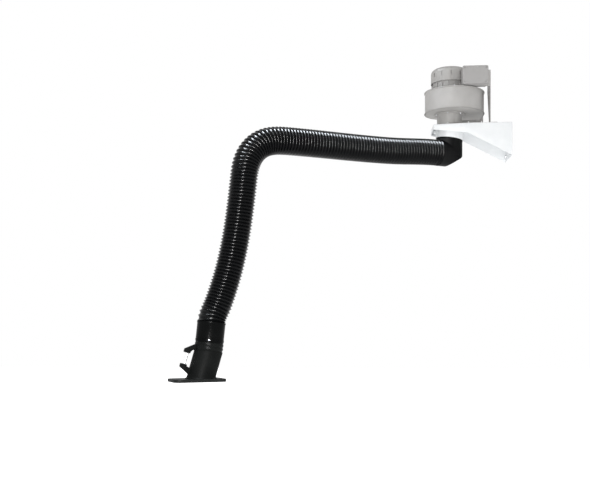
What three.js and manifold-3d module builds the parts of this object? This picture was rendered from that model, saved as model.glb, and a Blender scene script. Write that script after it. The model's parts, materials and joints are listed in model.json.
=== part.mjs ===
// A wall-mounted fume extraction arm: bracket, fan, swivel elbow, two-limb hose over a jointed
// support arm, and a hood with a handle. Millimetres, +Z up, origin on the wall behind the bracket.
import * as THREE from "three";
import { mergeVertices } from "three/addons/utils/BufferGeometryUtils.js";
import Module from "manifold-3d";

const wasm = await Module();
wasm.setup();

// Clearances
const FIT = 0.3;
const PIN_PLAY = 0.6;

// Wall bracket
const SHEET = 3;
const BRACKET_WIDTH = 264;
const NOSE_WIDTH = 190;
const SWIVEL_OUT = 400;
const NOSE_PAST_SWIVEL = 118;
const KINK_OUT = 294;
const WALL_DROP = 220;
const KINK_DROP = 66;
const NOSE_DROP = 35;
const WALL_HOLE_RADIUS = 5.5;
const WALL_HOLE_EDGE = 35;

// Duct
const DUCT_RADIUS = 80;
const ROUND_SIDES = 24;
const SMALL_SIDES = 12;
const CORNER_STEPS = 5;

// Fan
const INLET_HEIGHT = 86;
const INLET_WALL = 3;
const INLET_FLANGE_WIDTH = 22;
const INLET_FLANGE_THICKNESS = 6;
const SCROLL_HEIGHT = 138;
const SCROLL_RIGHT_RADIUS = 232;
const SCROLL_LEFT_RADIUS = 165;
const SCROLL_TONGUE_DEG = 60;
const SCROLL_STEPS = 22;
const SCROLL_WALL = 3;
const OUTLET_OUT = 170;
const OUTLET_LEFT = 72;
const OUTLET_STRAIGHT = 24;
const OUTLET_FLANGE_WIDTH = 20;
const OUTLET_FLANGE_THICKNESS = 5;
const COVER_THICKNESS = 6;
const COVER_BEVEL = 12;
const SHAFT_HOLE_PLAY = 3;
const IMPELLER_RADIUS = 108;
const IMPELLER_EYE_RADIUS = 82;
const IMPELLER_HUB_RADIUS = 24;
const IMPELLER_PLATE = 3;
const IMPELLER_GAP = 14;
const BLADE_COUNT = 8;
const BLADE_STEPS = 3;
const BLADE_THICKNESS = 3;
const BLADE_INNER_RADIUS = 62;
const BLADE_INSET = 1;
const BLADE_SWEEP_DEG = 42;
const SHAFT_RADIUS = 11;
const SHAFT_IN_MOTOR = 40;
const SHAFT_IN_HUB = 30;
const MOTOR_RADIUS = 114;
const MOTOR_HEIGHT = 62;
const MOTOR_RIB_COUNT = 18;
const MOTOR_RIB_DEPTH = 7;
const MOTOR_RIB_THICKNESS = 5;
const MOTOR_RIB_ROOT = 4;
const MOTOR_RIB_MARGIN = 6;
const COWL_HEIGHT = 97;
const COWL_WALL = 3;
const COWL_OVERLAP = 14;
const COWL_DOME = 30;
const DOME_STEPS = 3;
const COWL_SLOT_COUNT = 12;
const COWL_SLOT_WIDTH = 8;
const COWL_SLOT_HEIGHT = 26;
const COWL_SLOT_BELOW_DOME = 5;

// Control box
const BOX_SCROLL_INSET = 4;
const BOX_WIDTH = 166;
const BOX_HEIGHT = 117;
const BOX_DEPTH = 86;
const BOX_LID_DEPTH = 14;
const BOX_CORNER = 8;
const BOX_WALL = 4;
const BOX_LIP = 2;
const BOX_BACK = 124;
const BOX_OVER_COVER = 3;
const STAND_PAST_SCROLL = 23;
const STAND_DEPTH = 124;
const STAND_FOOT = 46;
const STAND_FOOT_WIDTH = 54;

// Swivel elbow
const REST_SWIVEL_DEG = 27;
const ELBOW_RADIUS = 87;
const ELBOW_WALL = 3;
const ELBOW_FACE = 92;
const ELBOW_AXIS_DROP = 180;
const ELBOW_CHAMFER_HIGH = 76;
const ELBOW_CHAMFER_LONG = 112;
const NECK_FLANGE_THICKNESS = 10;
const BEARING_CLEARANCE = 1;
const BEARING_SIZE_STEP = 1;
const BEARING_RIM = 8;
const BEARING_HEIGHT = 30;
const BEARING_LEDGE = 10;
const NECK_PLAY = 1.5;
const SEAL_INSET = 2;
const COLLAR_REACH = 30;
const COLLAR_WALL = 3;

// Support arm
const SHOULDER_OUT = 150;
const UPPER_LENGTH = 1260;
const UPPER_RISE_DEG = -1.61;
const LOWER_LENGTH = 1066.3;
const LOWER_LEAN_DEG = 14.64;
const TUBE_SIZE = 30;
const TUBE_WALL = 2.5;
const CHEEK_THICKNESS = 6;
const CHEEK_RADIUS = 24;
const DISC_THICKNESS = 2.4;
const DISC_RADIUS = 21;
const EYE_RADIUS = 20;
const EYE_NECK = 28;
const FORK_REACH = 45;
const FORK_BLOCK = 15;
const SPIGOT_LENGTH = 40;
const PIN_RADIUS = 8;
const PIN_HEAD_RADIUS = 13;
const PIN_HEAD = 6;
const SPRING_WIRE = 5;
const SPRING_COIL_RADIUS = 14;
const SPRING_TURNS = 2;
const SPRING_SIDES = 4;
const SPRING_SPREAD = 1.5;
const BRIDGE_THICKNESS = 10;
const BRIDGE_WIDTH = 48;

// Hose
const HOSE_CREST_RADIUS = 86;
const HOSE_ROOT_RADIUS = 80;
const HOSE_BORE_RADIUS = 77.5;
const HOSE_PITCH = 24;
const HOSE_SIDES = 10;
const LIMB_BORE_STEP = 120;
const BEND_BORE_STEP = 48;
const SHOULDER_BEND_LENGTH = 170;
const ELBOW_BEND_BACK = 245;
const ELBOW_BEND_RISE = 14;
const ELBOW_MIDDLE_BACK = 10;
const ELBOW_MIDDLE_DROP = 38;
const ELBOW_BEND_DOWN = 215;
const ELBOW_BEND_OUT = 11;
const UPPER_HOSE_RISE_DEG = 1.2;
const LOWER_HOSE_LEAN_DEG = 6.8;
const LOWER_HOSE_END_LEAN_DEG = 21.5;
const HOOD_BEND_UP = 30;
const HOOD_BEND_IN = 19;
const HOSE_STIFFNESS = 0.36;
const HOOD_BEND_LENGTH = 175;
const CLAMP_WIDTH = 13;
const CLAMP_THICKNESS = 1.6;
const CLAMP_ABOVE_RIM = 6;
const CLAMP_HOUSING_LENGTH = 24;
const CLAMP_HOUSING_HEIGHT = 8;
const CLAMP_SCREW_RADIUS = 3.5;
const CLAMP_SCREW_LENGTH = 36;

// Hood
const STEM_LEAN_DEG = 6.2;
const STEM_RADIUS = 9;
const STEM_TAIL = 36;
const COLLAR_BELOW_PIVOT = 234;
const CUFF_TOP = 84;
const CUFF_RADIUS = 85;
const CUFF_WALL = 5;
const HOOD_COLLAR_HEIGHT = 52;
const HOOD_COLLAR_RIB = 4.5;
const SPIDER_RING_WALL = 3.5;
const SPIDER_RING_HEIGHT = 16;
const CUFF_RING_HEIGHT = 40;
const SPOKE_COUNT = 3;
const SPOKE_THICKNESS = 5;
const HUB_RADIUS = 17;
const NUT_RADIUS = 15;
const NUT_HEIGHT = 11;
const HOOD_LEAN_DEG = 16.5;
const HOOD_RADIUS = 81.5;
const HOOD_WALL = 3;
const HOOD_LENGTH = 170;
const HOOD_FLARE = 10;
const HOOD_FLARE_HEIGHT = 16;
const FLANGE_LENGTH = 324;
const FLANGE_WIDTH = 204;
const FLANGE_CORNER = 42;
const FLANGE_HEIGHT = 18;
const FLANGE_WALL = 4;
const FLANGE_SHIFT = 24;

// Handle
const GRIP_RADIUS = 8;
const GRIP_STAND_OFF = 42.5;
const GRIP_SHOWN_TOP = 45;
const GRIP_SHOWN_LENGTH = 69;
const GRIP_IN_SOCKET = 14;
const HANDLE_WIDTH = 30;
const HANDLE_TIP_OUTSIDE = 22;
const HANDLE_TIP_INSIDE = 16;
const HANDLE_TIP_HEIGHT = 21;
const HANDLE_NOTCH_HEIGHT = 10;
const HANDLE_NOTCH_LENGTH = 11;
const HANDLE_ROOT_INSIDE = 10;
const HANDLE_TOP_RISE = 50;
const HANDLE_TOP_SLIM = 26;
const HANDLE_BOTTOM_FALL = 33;
const HANDLE_BOTTOM_SLIM = 12;

const radians = THREE.MathUtils.degToRad;
const BRACKET_TOP = WALL_DROP / 2;
const CHEEK_INSIDE = TUBE_SIZE / 2 + DISC_THICKNESS + 2 * FIT;
const CHEEK_OUTSIDE = CHEEK_INSIDE + CHEEK_THICKNESS;

// Materials
function paint(color, roughness, metalness) {
  return new THREE.MeshStandardMaterial({ color, roughness, metalness });
}
const whitePowder = paint(0xf2f4f5, 0.5, 0.1);
const greyPaint = paint(0xa9a8a6, 0.55, 0.1);
const blackPlastic = paint(0x1d1f1e, 0.45, 0);
const blackHose = paint(0x161617, 0.35, 0);
const blackRubber = paint(0x141414, 0.8, 0);
const zincSteel = paint(0xb9bcc0, 0.35, 0.9);
const brightMetal = paint(0xe4e6e8, 0.25, 0.9);

// Closed solids from geometry, and back
function solid(geometry) {
  const bare = geometry.clone();
  bare.deleteAttribute("normal");
  bare.deleteAttribute("uv");
  const merged = mergeVertices(bare, 1e-4);
  const vertProperties = new Float32Array(merged.attributes.position.array);
  const triVerts = new Uint32Array(merged.index.array);
  const made = new wasm.Manifold(new wasm.Mesh({ numProp: 3, vertProperties, triVerts }));
  if (made.volume() > 0) return made;
  const turned = triVerts.slice().reverse();
  return new wasm.Manifold(new wasm.Mesh({ numProp: 3, vertProperties, triVerts: turned }));
}

function geometryOf(made) {
  const { vertProperties, triVerts } = made.getMesh();
  const geometry = new THREE.BufferGeometry();
  geometry.setAttribute("position", new THREE.BufferAttribute(vertProperties, 3));
  geometry.setIndex(new THREE.BufferAttribute(triVerts, 1));
  geometry.computeVertexNormals();
  return geometry;
}

function add(group, name, made, material) {
  const mesh = new THREE.Mesh(geometryOf(made), material);
  mesh.name = name;
  group.add(mesh);
  return mesh;
}

// Basic forms
function block(from, to) {
  const size = to.map((value, i) => value - from[i]);
  const geometry = new THREE.BoxGeometry(...size);
  geometry.translate(...from.map((value, i) => value + size[i] / 2));
  return solid(geometry);
}

function revolve(profile, sides = ROUND_SIDES) {
  const points = profile.map(([radius, height]) => new THREE.Vector2(radius, height));
  const geometry = new THREE.LatheGeometry(points, sides);
  geometry.rotateX(Math.PI / 2);
  return solid(geometry);
}

function ring(inner, outer, low, high, sides = ROUND_SIDES) {
  return revolve([[inner, low], [outer, low], [outer, high], [inner, high], [inner, low]], sides);
}

function rod(radius, low, high, sides = ROUND_SIDES) {
  return revolve([[0, low], [radius, low], [radius, high], [0, high]], sides);
}

function prism(shape, low, high) {
  const settings = { depth: high - low, bevelEnabled: false, curveSegments: CORNER_STEPS };
  const geometry = new THREE.ExtrudeGeometry(shape, settings);
  geometry.translate(0, 0, low);
  return solid(geometry);
}

// A solid whose outline lies in the XZ plane, from one Y to another
function sidePrism(shape, low, high) {
  return prism(shape, -high, -low).rotate([90, 0, 0]);
}

const alongY = (made) => made.rotate([-90, 0, 0]);
const alongX = (made) => made.rotate([0, 90, 0]);

function outline(points) {
  return new THREE.Shape(points.map(([x, y]) => new THREE.Vector2(x, y)));
}

function roundedRectangle(x0, x1, y0, y1, corner) {
  const shape = new THREE.Shape();
  shape.moveTo(x0 + corner, y0);
  shape.absarc(x1 - corner, y0 + corner, corner, -Math.PI / 2, 0);
  shape.absarc(x1 - corner, y1 - corner, corner, 0, Math.PI / 2);
  shape.absarc(x0 + corner, y1 - corner, corner, Math.PI / 2, Math.PI);
  shape.absarc(x0 + corner, y0 + corner, corner, Math.PI, Math.PI * 1.5);
  return shape;
}

// A skin through closed rings of points, each with the same count; the ends are capped by fans or,
// when an inner stack is given, joined to it
function skin(outer, inner) {
  const stack = inner ? [...outer, ...inner.slice().reverse(), outer[0]] : outer;
  const count = outer[0].length;
  const positions = stack.flat().flatMap((point) => point.toArray());
  const faces = [];
  for (let i = 0; i < stack.length - 1; i++) {
    for (let j = 0; j < count; j++) {
      const next = (j + 1) % count;
      const [a, b] = [i * count + j, i * count + next];
      const [c, d] = [a + count, b + count];
      faces.push(a, b, d, a, d, c);
    }
  }
  const geometry = new THREE.BufferGeometry();
  geometry.setAttribute("position", new THREE.Float32BufferAttribute(positions, 3));
  geometry.setIndex(faces);
  return solid(geometry);
}

// A skin closed at both ends by a fan to the middle of the last ring
function capped(rings) {
  const tip = (points) => {
    const middle = points.reduce((sum, point) => sum.add(point), new THREE.Vector3());
    return points.map(() => middle.clone().divideScalar(points.length));
  };
  return skin([tip(rings[0]), ...rings, tip(rings[rings.length - 1])]);
}

const arm = new THREE.Group();

// Wall bracket: a folded sheet, open below, with a nose that narrows round the swivel
function bracketPlan(inset) {
  const side = BRACKET_WIDTH / 2 - inset;
  const nose = NOSE_WIDTH / 2 - inset;
  const noseX = -(SWIVEL_OUT + NOSE_PAST_SWIVEL) + inset;
  return outline([
    [-inset, -side],
    [-inset, side],
    [-KINK_OUT, side],
    [noseX, nose],
    [noseX, -nose],
    [-KINK_OUT, -side],
  ]);
}

function wallBracket() {
  const noseX = -(SWIVEL_OUT + NOSE_PAST_SWIVEL);
  const cheek = outline([
    [0, BRACKET_TOP],
    [0, BRACKET_TOP - WALL_DROP],
    [-KINK_OUT, BRACKET_TOP - KINK_DROP],
    [noseX, BRACKET_TOP - NOSE_DROP],
    [noseX, BRACKET_TOP],
  ]);
  const folded = prism(bracketPlan(0), BRACKET_TOP - WALL_DROP, BRACKET_TOP)
    .intersect(sidePrism(cheek, -BRACKET_WIDTH, BRACKET_WIDTH))
    .subtract(prism(bracketPlan(SHEET), -WALL_DROP, BRACKET_TOP - SHEET));
  const ductHole = rod(DUCT_RADIUS, 0, WALL_DROP).translate([-SWIVEL_OUT, 0, 0]);
  const holeY = BRACKET_WIDTH / 2 - WALL_HOLE_EDGE;
  const holeZ = WALL_DROP / 2 - WALL_HOLE_EDGE;
  const wallHole = alongX(rod(WALL_HOLE_RADIUS, -2 * SHEET, SHEET, SMALL_SIDES));
  return [[-1, -1], [-1, 1], [1, -1], [1, 1]].reduce(
    (made, [y, z]) => made.subtract(wallHole.translate([0, y * holeY, z * holeZ])),
    folded.subtract(ductHole),
  );
}
add(arm, "wall_bracket", wallBracket(), whitePowder);

// Swivel bearing under the bracket: a ring whose ledge carries the flange of the neck
const swivelAxis = new THREE.Group();
swivelAxis.position.x = -SWIVEL_OUT;
arm.add(swivelAxis);

// The largest ring, in whole size steps, that clears the bracket's cheeks and its nose
function bearingRadiusInBracket() {
  const kink = new THREE.Vector2(SWIVEL_OUT - KINK_OUT, BRACKET_WIDTH / 2 - SHEET);
  const nose = new THREE.Vector2(SHEET - NOSE_PAST_SWIVEL, NOSE_WIDTH / 2 - SHEET);
  const cheekAway = Math.abs(kink.cross(nose)) / kink.distanceTo(nose);
  const room = Math.min(cheekAway, NOSE_PAST_SWIVEL - SHEET) - BEARING_CLEARANCE;
  return Math.floor(room / BEARING_SIZE_STEP) * BEARING_SIZE_STEP;
}
const bearingRadius = bearingRadiusInBracket();
const neckFlangeRadius = bearingRadius - BEARING_RIM;
const bearingTop = BRACKET_TOP - SHEET - FIT;
const bearingBottom = bearingTop - BEARING_HEIGHT;
const ledgeTop = bearingBottom + BEARING_LEDGE;
const neckFlangeTop = ledgeTop + FIT + NECK_FLANGE_THICKNESS;
const ledgeBore = ELBOW_RADIUS + NECK_PLAY;
const flangeBore = (neckFlangeRadius + 2 * FIT) / Math.cos(Math.PI / ROUND_SIDES);
add(swivelAxis, "swivel_bearing", revolve([
  [bearingRadius, bearingTop],
  [bearingRadius, bearingBottom],
  [ledgeBore, bearingBottom],
  [ledgeBore, ledgeTop],
  [flangeBore, ledgeTop],
  [flangeBore, bearingTop],
  [bearingRadius, bearingTop],
]), whitePowder);
const sealInner = DUCT_RADIUS + SEAL_INSET;
const sealOuter = neckFlangeRadius - SEAL_INSET;
add(swivelAxis, "neck_seal", ring(sealInner, sealOuter, neckFlangeTop + FIT, bearingTop), blackRubber);

// Fan: inlet spigot, scroll casing with its cover and outlet flange, motor and impeller
const fan = new THREE.Group();
fan.position.z = BRACKET_TOP;
swivelAxis.add(fan);

const inletTop = INLET_HEIGHT - FIT;
const inletOuter = DUCT_RADIUS + INLET_WALL;
const inletFlange = DUCT_RADIUS + INLET_FLANGE_WIDTH;
add(fan, "inlet_spigot", revolve([
  [DUCT_RADIUS, FIT],
  [inletFlange, FIT],
  [inletFlange, FIT + INLET_FLANGE_THICKNESS],
  [inletOuter, FIT + INLET_FLANGE_THICKNESS],
  [inletOuter, inletTop - INLET_FLANGE_THICKNESS],
  [inletFlange, inletTop - INLET_FLANGE_THICKNESS],
  [inletFlange, inletTop],
  [DUCT_RADIUS, inletTop],
  [DUCT_RADIUS, FIT],
]), greyPaint);

// The scroll is a logarithmic spiral that leaves the impeller at the tongue and ends in the outlet
function scrollOutline(inset, outletEnd) {
  const growth = Math.log(SCROLL_RIGHT_RADIUS / SCROLL_LEFT_RADIUS) / Math.PI;
  const tongue = radians(SCROLL_TONGUE_DEG);
  const points = [];
  for (let i = 0; i <= SCROLL_STEPS; i++) {
    const angle = tongue + (2 * Math.PI - tongue) * (i / SCROLL_STEPS);
    const radius = SCROLL_RIGHT_RADIUS * Math.exp(growth * (angle - 2 * Math.PI)) - inset;
    points.push([radius * Math.cos(angle), radius * Math.sin(angle)]);
  }
  points.push([SCROLL_RIGHT_RADIUS - inset, outletEnd]);
  points.push([OUTLET_LEFT + inset, outletEnd]);
  points.push([OUTLET_LEFT + inset, OUTLET_OUT - OUTLET_STRAIGHT]);
  return outline(points);
}

const scrollBottom = INLET_HEIGHT;
const scrollTop = scrollBottom + SCROLL_HEIGHT;
const scrollRoom = scrollOutline(SCROLL_WALL, OUTLET_OUT + SCROLL_WALL);
const scroll = prism(scrollOutline(0, OUTLET_OUT), scrollBottom, scrollTop)
  .subtract(prism(scrollRoom, scrollBottom + SCROLL_WALL, scrollTop + SCROLL_WALL))
  .subtract(rod(DUCT_RADIUS, 0, scrollTop));
add(fan, "fan_scroll", scroll, greyPaint);

const outletFlange = block(
  [
    OUTLET_LEFT - OUTLET_FLANGE_WIDTH,
    OUTLET_OUT - OUTLET_FLANGE_THICKNESS,
    scrollBottom - OUTLET_FLANGE_WIDTH,
  ],
  [SCROLL_RIGHT_RADIUS + OUTLET_FLANGE_WIDTH, OUTLET_OUT, scrollTop + OUTLET_FLANGE_WIDTH],
).subtract(block(
  [OUTLET_LEFT - FIT, 0, scrollBottom - FIT],
  [SCROLL_RIGHT_RADIUS + FIT, 2 * OUTLET_OUT, scrollTop + COVER_THICKNESS + 2 * FIT],
));
add(fan, "outlet_flange", outletFlange, greyPaint);

const coverBottom = scrollTop + FIT;
const coverTop = coverBottom + COVER_THICKNESS;
function fanCover() {
  const lid = prism(scrollOutline(0, OUTLET_OUT), coverBottom, coverTop);
  const plinthRadius = MOTOR_RADIUS + COVER_BEVEL;
  const plinth = revolve([
    [0, coverBottom],
    [plinthRadius, coverBottom],
    [plinthRadius, coverTop],
    [MOTOR_RADIUS, coverTop + COVER_BEVEL],
    [0, coverTop + COVER_BEVEL],
  ]);
  const shaftHole = rod(SHAFT_RADIUS + SHAFT_HOLE_PLAY, 0, 2 * coverTop, SMALL_SIDES);
  return lid.add(plinth).subtract(shaftHole);
}
add(fan, "fan_cover", fanCover(), greyPaint);

const motorBottom = coverTop + COVER_BEVEL + FIT;
const motorTop = motorBottom + MOTOR_HEIGHT;
function motorBody() {
  const rib = block(
    [MOTOR_RADIUS - MOTOR_RIB_ROOT, -MOTOR_RIB_THICKNESS / 2, motorBottom + MOTOR_RIB_MARGIN],
    [MOTOR_RADIUS + MOTOR_RIB_DEPTH, MOTOR_RIB_THICKNESS / 2, motorTop - COWL_OVERLAP - MOTOR_RIB_MARGIN],
  );
  let body = rod(MOTOR_RADIUS, motorBottom, motorTop);
  for (let i = 0; i < MOTOR_RIB_COUNT; i++) {
    body = body.add(rib.rotate([0, 0, (360 * i) / MOTOR_RIB_COUNT]));
  }
  const shaftBore = rod(SHAFT_RADIUS + PIN_PLAY, 0, motorBottom + SHAFT_IN_MOTOR + FIT, SMALL_SIDES);
  return body.subtract(shaftBore);
}
add(fan, "motor_body", motorBody(), greyPaint);

// Motor cowl: a domed cap that sleeves over the motor, slotted near its rim
function motorCowl() {
  const inner = MOTOR_RADIUS + FIT;
  const outer = MOTOR_RADIUS + MOTOR_RIB_DEPTH + COWL_WALL;
  const rim = motorTop - COWL_OVERLAP;
  const top = rim + COWL_HEIGHT;
  const dome = (radius, height, sink) => {
    const points = [];
    const shoulder = COWL_DOME - sink;
    for (let i = 0; i <= DOME_STEPS; i++) {
      const angle = (Math.PI / 2) * (i / DOME_STEPS);
      const out = radius - shoulder + shoulder * Math.cos(angle);
      points.push([out, height - sink - shoulder + shoulder * Math.sin(angle)]);
    }
    return points;
  };
  const cap = revolve([[0, rim], [outer, rim], ...dome(outer, top, 0), [0, top]]);
  const hollow = revolve([
    [0, rim - COWL_WALL],
    [inner, rim - COWL_WALL],
    [inner, motorTop + FIT],
    [outer - COWL_WALL, motorTop + FIT],
    ...dome(outer - COWL_WALL, top, COWL_WALL),
    [0, top - COWL_WALL],
  ]);
  const slotTop = top - COWL_DOME - COWL_SLOT_BELOW_DOME;
  const slot = block(
    [inner, -COWL_SLOT_WIDTH / 2, slotTop - COWL_SLOT_HEIGHT],
    [outer + COWL_WALL, COWL_SLOT_WIDTH / 2, slotTop],
  );
  let cowl = cap.subtract(hollow);
  for (let i = 0; i < COWL_SLOT_COUNT; i++) {
    cowl = cowl.subtract(slot.rotate([0, 0, (360 * i) / COWL_SLOT_COUNT]));
  }
  return cowl;
}
add(fan, "motor_cowl", motorCowl(), greyPaint);

// Impeller: backward-curved blades between a back plate under the motor and a shroud over the inlet
const impellerTop = scrollTop - IMPELLER_GAP;
const impellerBottom = scrollBottom + SCROLL_WALL + IMPELLER_GAP;
function blade() {
  const edge = (side) => {
    const points = [];
    for (let i = 0; i <= BLADE_STEPS; i++) {
      const out = i / BLADE_STEPS;
      const radius = BLADE_INNER_RADIUS + (IMPELLER_RADIUS - BLADE_INSET - BLADE_INNER_RADIUS) * out;
      const angle = radians(BLADE_SWEEP_DEG) * out + (side * BLADE_THICKNESS) / 2 / radius;
      points.push([radius * Math.cos(angle), radius * Math.sin(angle)]);
    }
    return points;
  };
  const plan = outline([...edge(-1), ...edge(1).reverse()]);
  return prism(plan, impellerBottom + BLADE_INSET, impellerTop - BLADE_INSET);
}

function impeller() {
  const backPlate = rod(IMPELLER_RADIUS, impellerTop - IMPELLER_PLATE, impellerTop);
  const shroudTop = impellerBottom + IMPELLER_PLATE;
  const shroud = ring(IMPELLER_EYE_RADIUS, IMPELLER_RADIUS, impellerBottom, shroudTop);
  const hub = rod(IMPELLER_HUB_RADIUS, impellerTop - SHAFT_IN_HUB, impellerTop, SMALL_SIDES);
  let wheel = backPlate.add(shroud).add(hub);
  const one = blade();
  for (let i = 0; i < BLADE_COUNT; i++) {
    wheel = wheel.add(one.rotate([0, 0, (360 * i) / BLADE_COUNT]));
  }
  return wheel.subtract(rod(SHAFT_RADIUS + FIT, 0, 2 * impellerTop, SMALL_SIDES));
}
add(fan, "impeller", impeller(), zincSteel);
const shaft = rod(SHAFT_RADIUS, impellerTop - SHAFT_IN_HUB, motorBottom + SHAFT_IN_MOTOR, SMALL_SIDES);
add(fan, "motor_shaft", shaft, zincSteel);

// Control box on its upright sheet beside the motor
const boxBottom = coverTop + BOX_OVER_COVER;
const boxTop = boxBottom + BOX_HEIGHT;
const boxRight = SCROLL_RIGHT_RADIUS - BOX_SCROLL_INSET;
const boxLeft = boxRight - BOX_WIDTH;
const standRight = SCROLL_RIGHT_RADIUS + STAND_PAST_SCROLL;
const boxFront = -BOX_BACK - BOX_DEPTH;
const lidFront = boxFront - FIT - BOX_LID_DEPTH;
function boxOutline(inset) {
  const [left, right] = [boxLeft + inset, boxRight - inset];
  return roundedRectangle(left, right, boxBottom + inset, boxTop - inset, BOX_CORNER);
}
const boxShell = sidePrism(boxOutline(BOX_LIP), boxFront, -BOX_BACK)
  .subtract(sidePrism(boxOutline(BOX_LIP + BOX_WALL), boxFront - BOX_WALL, -BOX_BACK - BOX_WALL));
const boxLid = sidePrism(boxOutline(0), lidFront, boxFront - FIT)
  .subtract(sidePrism(boxOutline(BOX_LIP + BOX_WALL), lidFront + BOX_WALL, boxFront));
add(fan, "control_box", boxShell, greyPaint);
add(fan, "control_box_lid", boxLid, greyPaint);

function controlBoxStand() {
  const standBack = STAND_DEPTH - BOX_BACK;
  const leg = prism(outline([
    [-BOX_BACK + FIT, FIT],
    [-BOX_BACK + FIT + STAND_FOOT_WIDTH, FIT],
    [standBack, boxBottom],
    [standBack, boxTop],
    [-BOX_BACK + FIT, boxTop],
  ]), 0, SHEET).rotate([90, 0, 90]).translate([standRight, 0, 0]);
  const face = block(
    [boxLeft + BOX_WIDTH / 2, -BOX_BACK + FIT, boxBottom + BOX_CORNER],
    [standRight + SHEET, -BOX_BACK + FIT + SHEET, boxTop],
  );
  const foot = block(
    [standRight, -BOX_BACK + FIT, FIT],
    [standRight + STAND_FOOT, -BOX_BACK + FIT + STAND_FOOT_WIDTH, FIT + SHEET],
  );
  return leg.add(face).add(foot);
}
add(fan, "control_box_stand", controlBoxStand(), greyPaint);

// Everything below swings about the vertical axis of the neck; the arm runs out along -X
const swing = new THREE.Group();
swing.rotation.z = radians(REST_SWIVEL_DEG);
swivelAxis.add(swing);
const armHeight = BRACKET_TOP - ELBOW_AXIS_DROP;

// Swivel elbow: a mitred elbow with its outer corner cut off, a neck flange and a collar in the hose
function elbowForm(radius, top, face, cornerLift) {
  const angles = Array.from({ length: ROUND_SIDES }, (_, i) => (2 * Math.PI * i) / ROUND_SIDES);
  const across = angles.map((angle) => [radius * Math.cos(angle), radius * Math.sin(angle)]);
  const bend = capped([
    across.map(([x, y]) => new THREE.Vector3(x, y, top)),
    across.map(([x, y]) => new THREE.Vector3(x, y, armHeight - x)),
    across.map(([x, y]) => new THREE.Vector3(-face, y, armHeight - x)),
  ]);
  const cutLength = Math.hypot(ELBOW_CHAMFER_HIGH, ELBOW_CHAMFER_LONG);
  const cut = [-ELBOW_CHAMFER_HIGH / cutLength, 0, ELBOW_CHAMFER_LONG / cutLength];
  const cornerZ = armHeight - ELBOW_RADIUS + ELBOW_CHAMFER_HIGH;
  return bend.trimByPlane(cut, cut[0] * ELBOW_RADIUS + cut[2] * cornerZ + cornerLift);
}

const collarOuter = HOSE_BORE_RADIUS * Math.cos(Math.PI / HOSE_SIDES) - FIT;
const collarInner = collarOuter - COLLAR_WALL;
const collarEnd = ELBOW_FACE + COLLAR_REACH;
function swivelElbow() {
  const neckFlange = rod(neckFlangeRadius, ledgeTop + FIT, neckFlangeTop);
  const collar = alongX(rod(collarOuter, -collarEnd, -ELBOW_FACE + ELBOW_WALL));
  const bore = alongX(rod(collarInner, -collarEnd - ELBOW_WALL, 0));
  const insideTop = neckFlangeTop + ELBOW_WALL;
  const inside = elbowForm(ELBOW_RADIUS - ELBOW_WALL, insideTop, ELBOW_FACE - ELBOW_WALL, ELBOW_WALL);
  return elbowForm(ELBOW_RADIUS, neckFlangeTop, ELBOW_FACE, 0)
    .add(neckFlange)
    .add(collar.translate([0, 0, armHeight]))
    .subtract(inside)
    .subtract(bore.translate([0, 0, armHeight]));
}
add(swing, "swivel_elbow", swivelElbow(), blackPlastic);

// Joints of the support arm: a fork, an eye between its cheeks, friction discs, a pin and a spring.
// Each is modelled with the limb running along -X from the pivot.
const pinHole = alongY(rod(PIN_RADIUS + PIN_PLAY, -2 * CHEEK_OUTSIDE, 2 * CHEEK_OUTSIDE, SMALL_SIDES));

function forkCheeks(reach) {
  const shape = new THREE.Shape();
  shape.moveTo(reach, -TUBE_SIZE / 2);
  shape.lineTo(reach, TUBE_SIZE / 2);
  shape.lineTo(0, CHEEK_RADIUS);
  shape.absarc(0, 0, CHEEK_RADIUS, Math.PI / 2, Math.PI * 1.5);
  const right = sidePrism(shape, CHEEK_INSIDE, CHEEK_OUTSIDE);
  const left = sidePrism(shape, -CHEEK_OUTSIDE, -CHEEK_INSIDE);
  return right.add(left);
}

// The fork on a tube's end: cheeks, the block between them and the spigot in the tube
function tubeFork() {
  const half = TUBE_SIZE / 2;
  const inside = half - TUBE_WALL - FIT;
  const yokeEnd = FORK_REACH + FORK_BLOCK;
  const yoke = block([FORK_REACH, -CHEEK_OUTSIDE, -half], [yokeEnd, CHEEK_OUTSIDE, half]);
  const spigot = block([FORK_REACH, -inside, -inside], [yokeEnd + SPIGOT_LENGTH, inside, inside]);
  return forkCheeks(yokeEnd).add(yoke).add(spigot).subtract(pinHole);
}

function tubeEye() {
  const half = TUBE_SIZE / 2;
  const inside = half - TUBE_WALL - FIT;
  const boss = alongY(rod(EYE_RADIUS, -half, half, SMALL_SIDES));
  const neck = block([-EYE_NECK, -half, -half], [0, half, half]);
  const spigot = block([-EYE_NECK - SPIGOT_LENGTH, -inside, -inside], [0, inside, inside]);
  return boss.add(neck).add(spigot).subtract(pinHole);
}

function squareTube(length) {
  const half = TUBE_SIZE / 2;
  const inside = half - TUBE_WALL;
  const from = -(length - FORK_REACH - FORK_BLOCK - FIT);
  const to = -(EYE_NECK + FIT);
  const hollow = block([from - half, -inside, -inside], [to + half, inside, inside]);
  return block([from, -half, -half], [to, half, half]).subtract(hollow);
}

const springRoom = SPRING_TURNS * SPRING_WIRE * SPRING_SPREAD + SPRING_WIRE;
function pivotPin(springSide) {
  const near = CHEEK_OUTSIDE + FIT;
  const far = near + (springSide ? springRoom + FIT : 0);
  return alongY(revolve([
    [0, -near - PIN_HEAD],
    [PIN_HEAD_RADIUS, -near - PIN_HEAD],
    [PIN_HEAD_RADIUS, -near],
    [PIN_RADIUS, -near],
    [PIN_RADIUS, far],
    [PIN_HEAD_RADIUS, far],
    [PIN_HEAD_RADIUS, far + PIN_HEAD],
    [0, far + PIN_HEAD],
  ], SMALL_SIDES));
}

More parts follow.
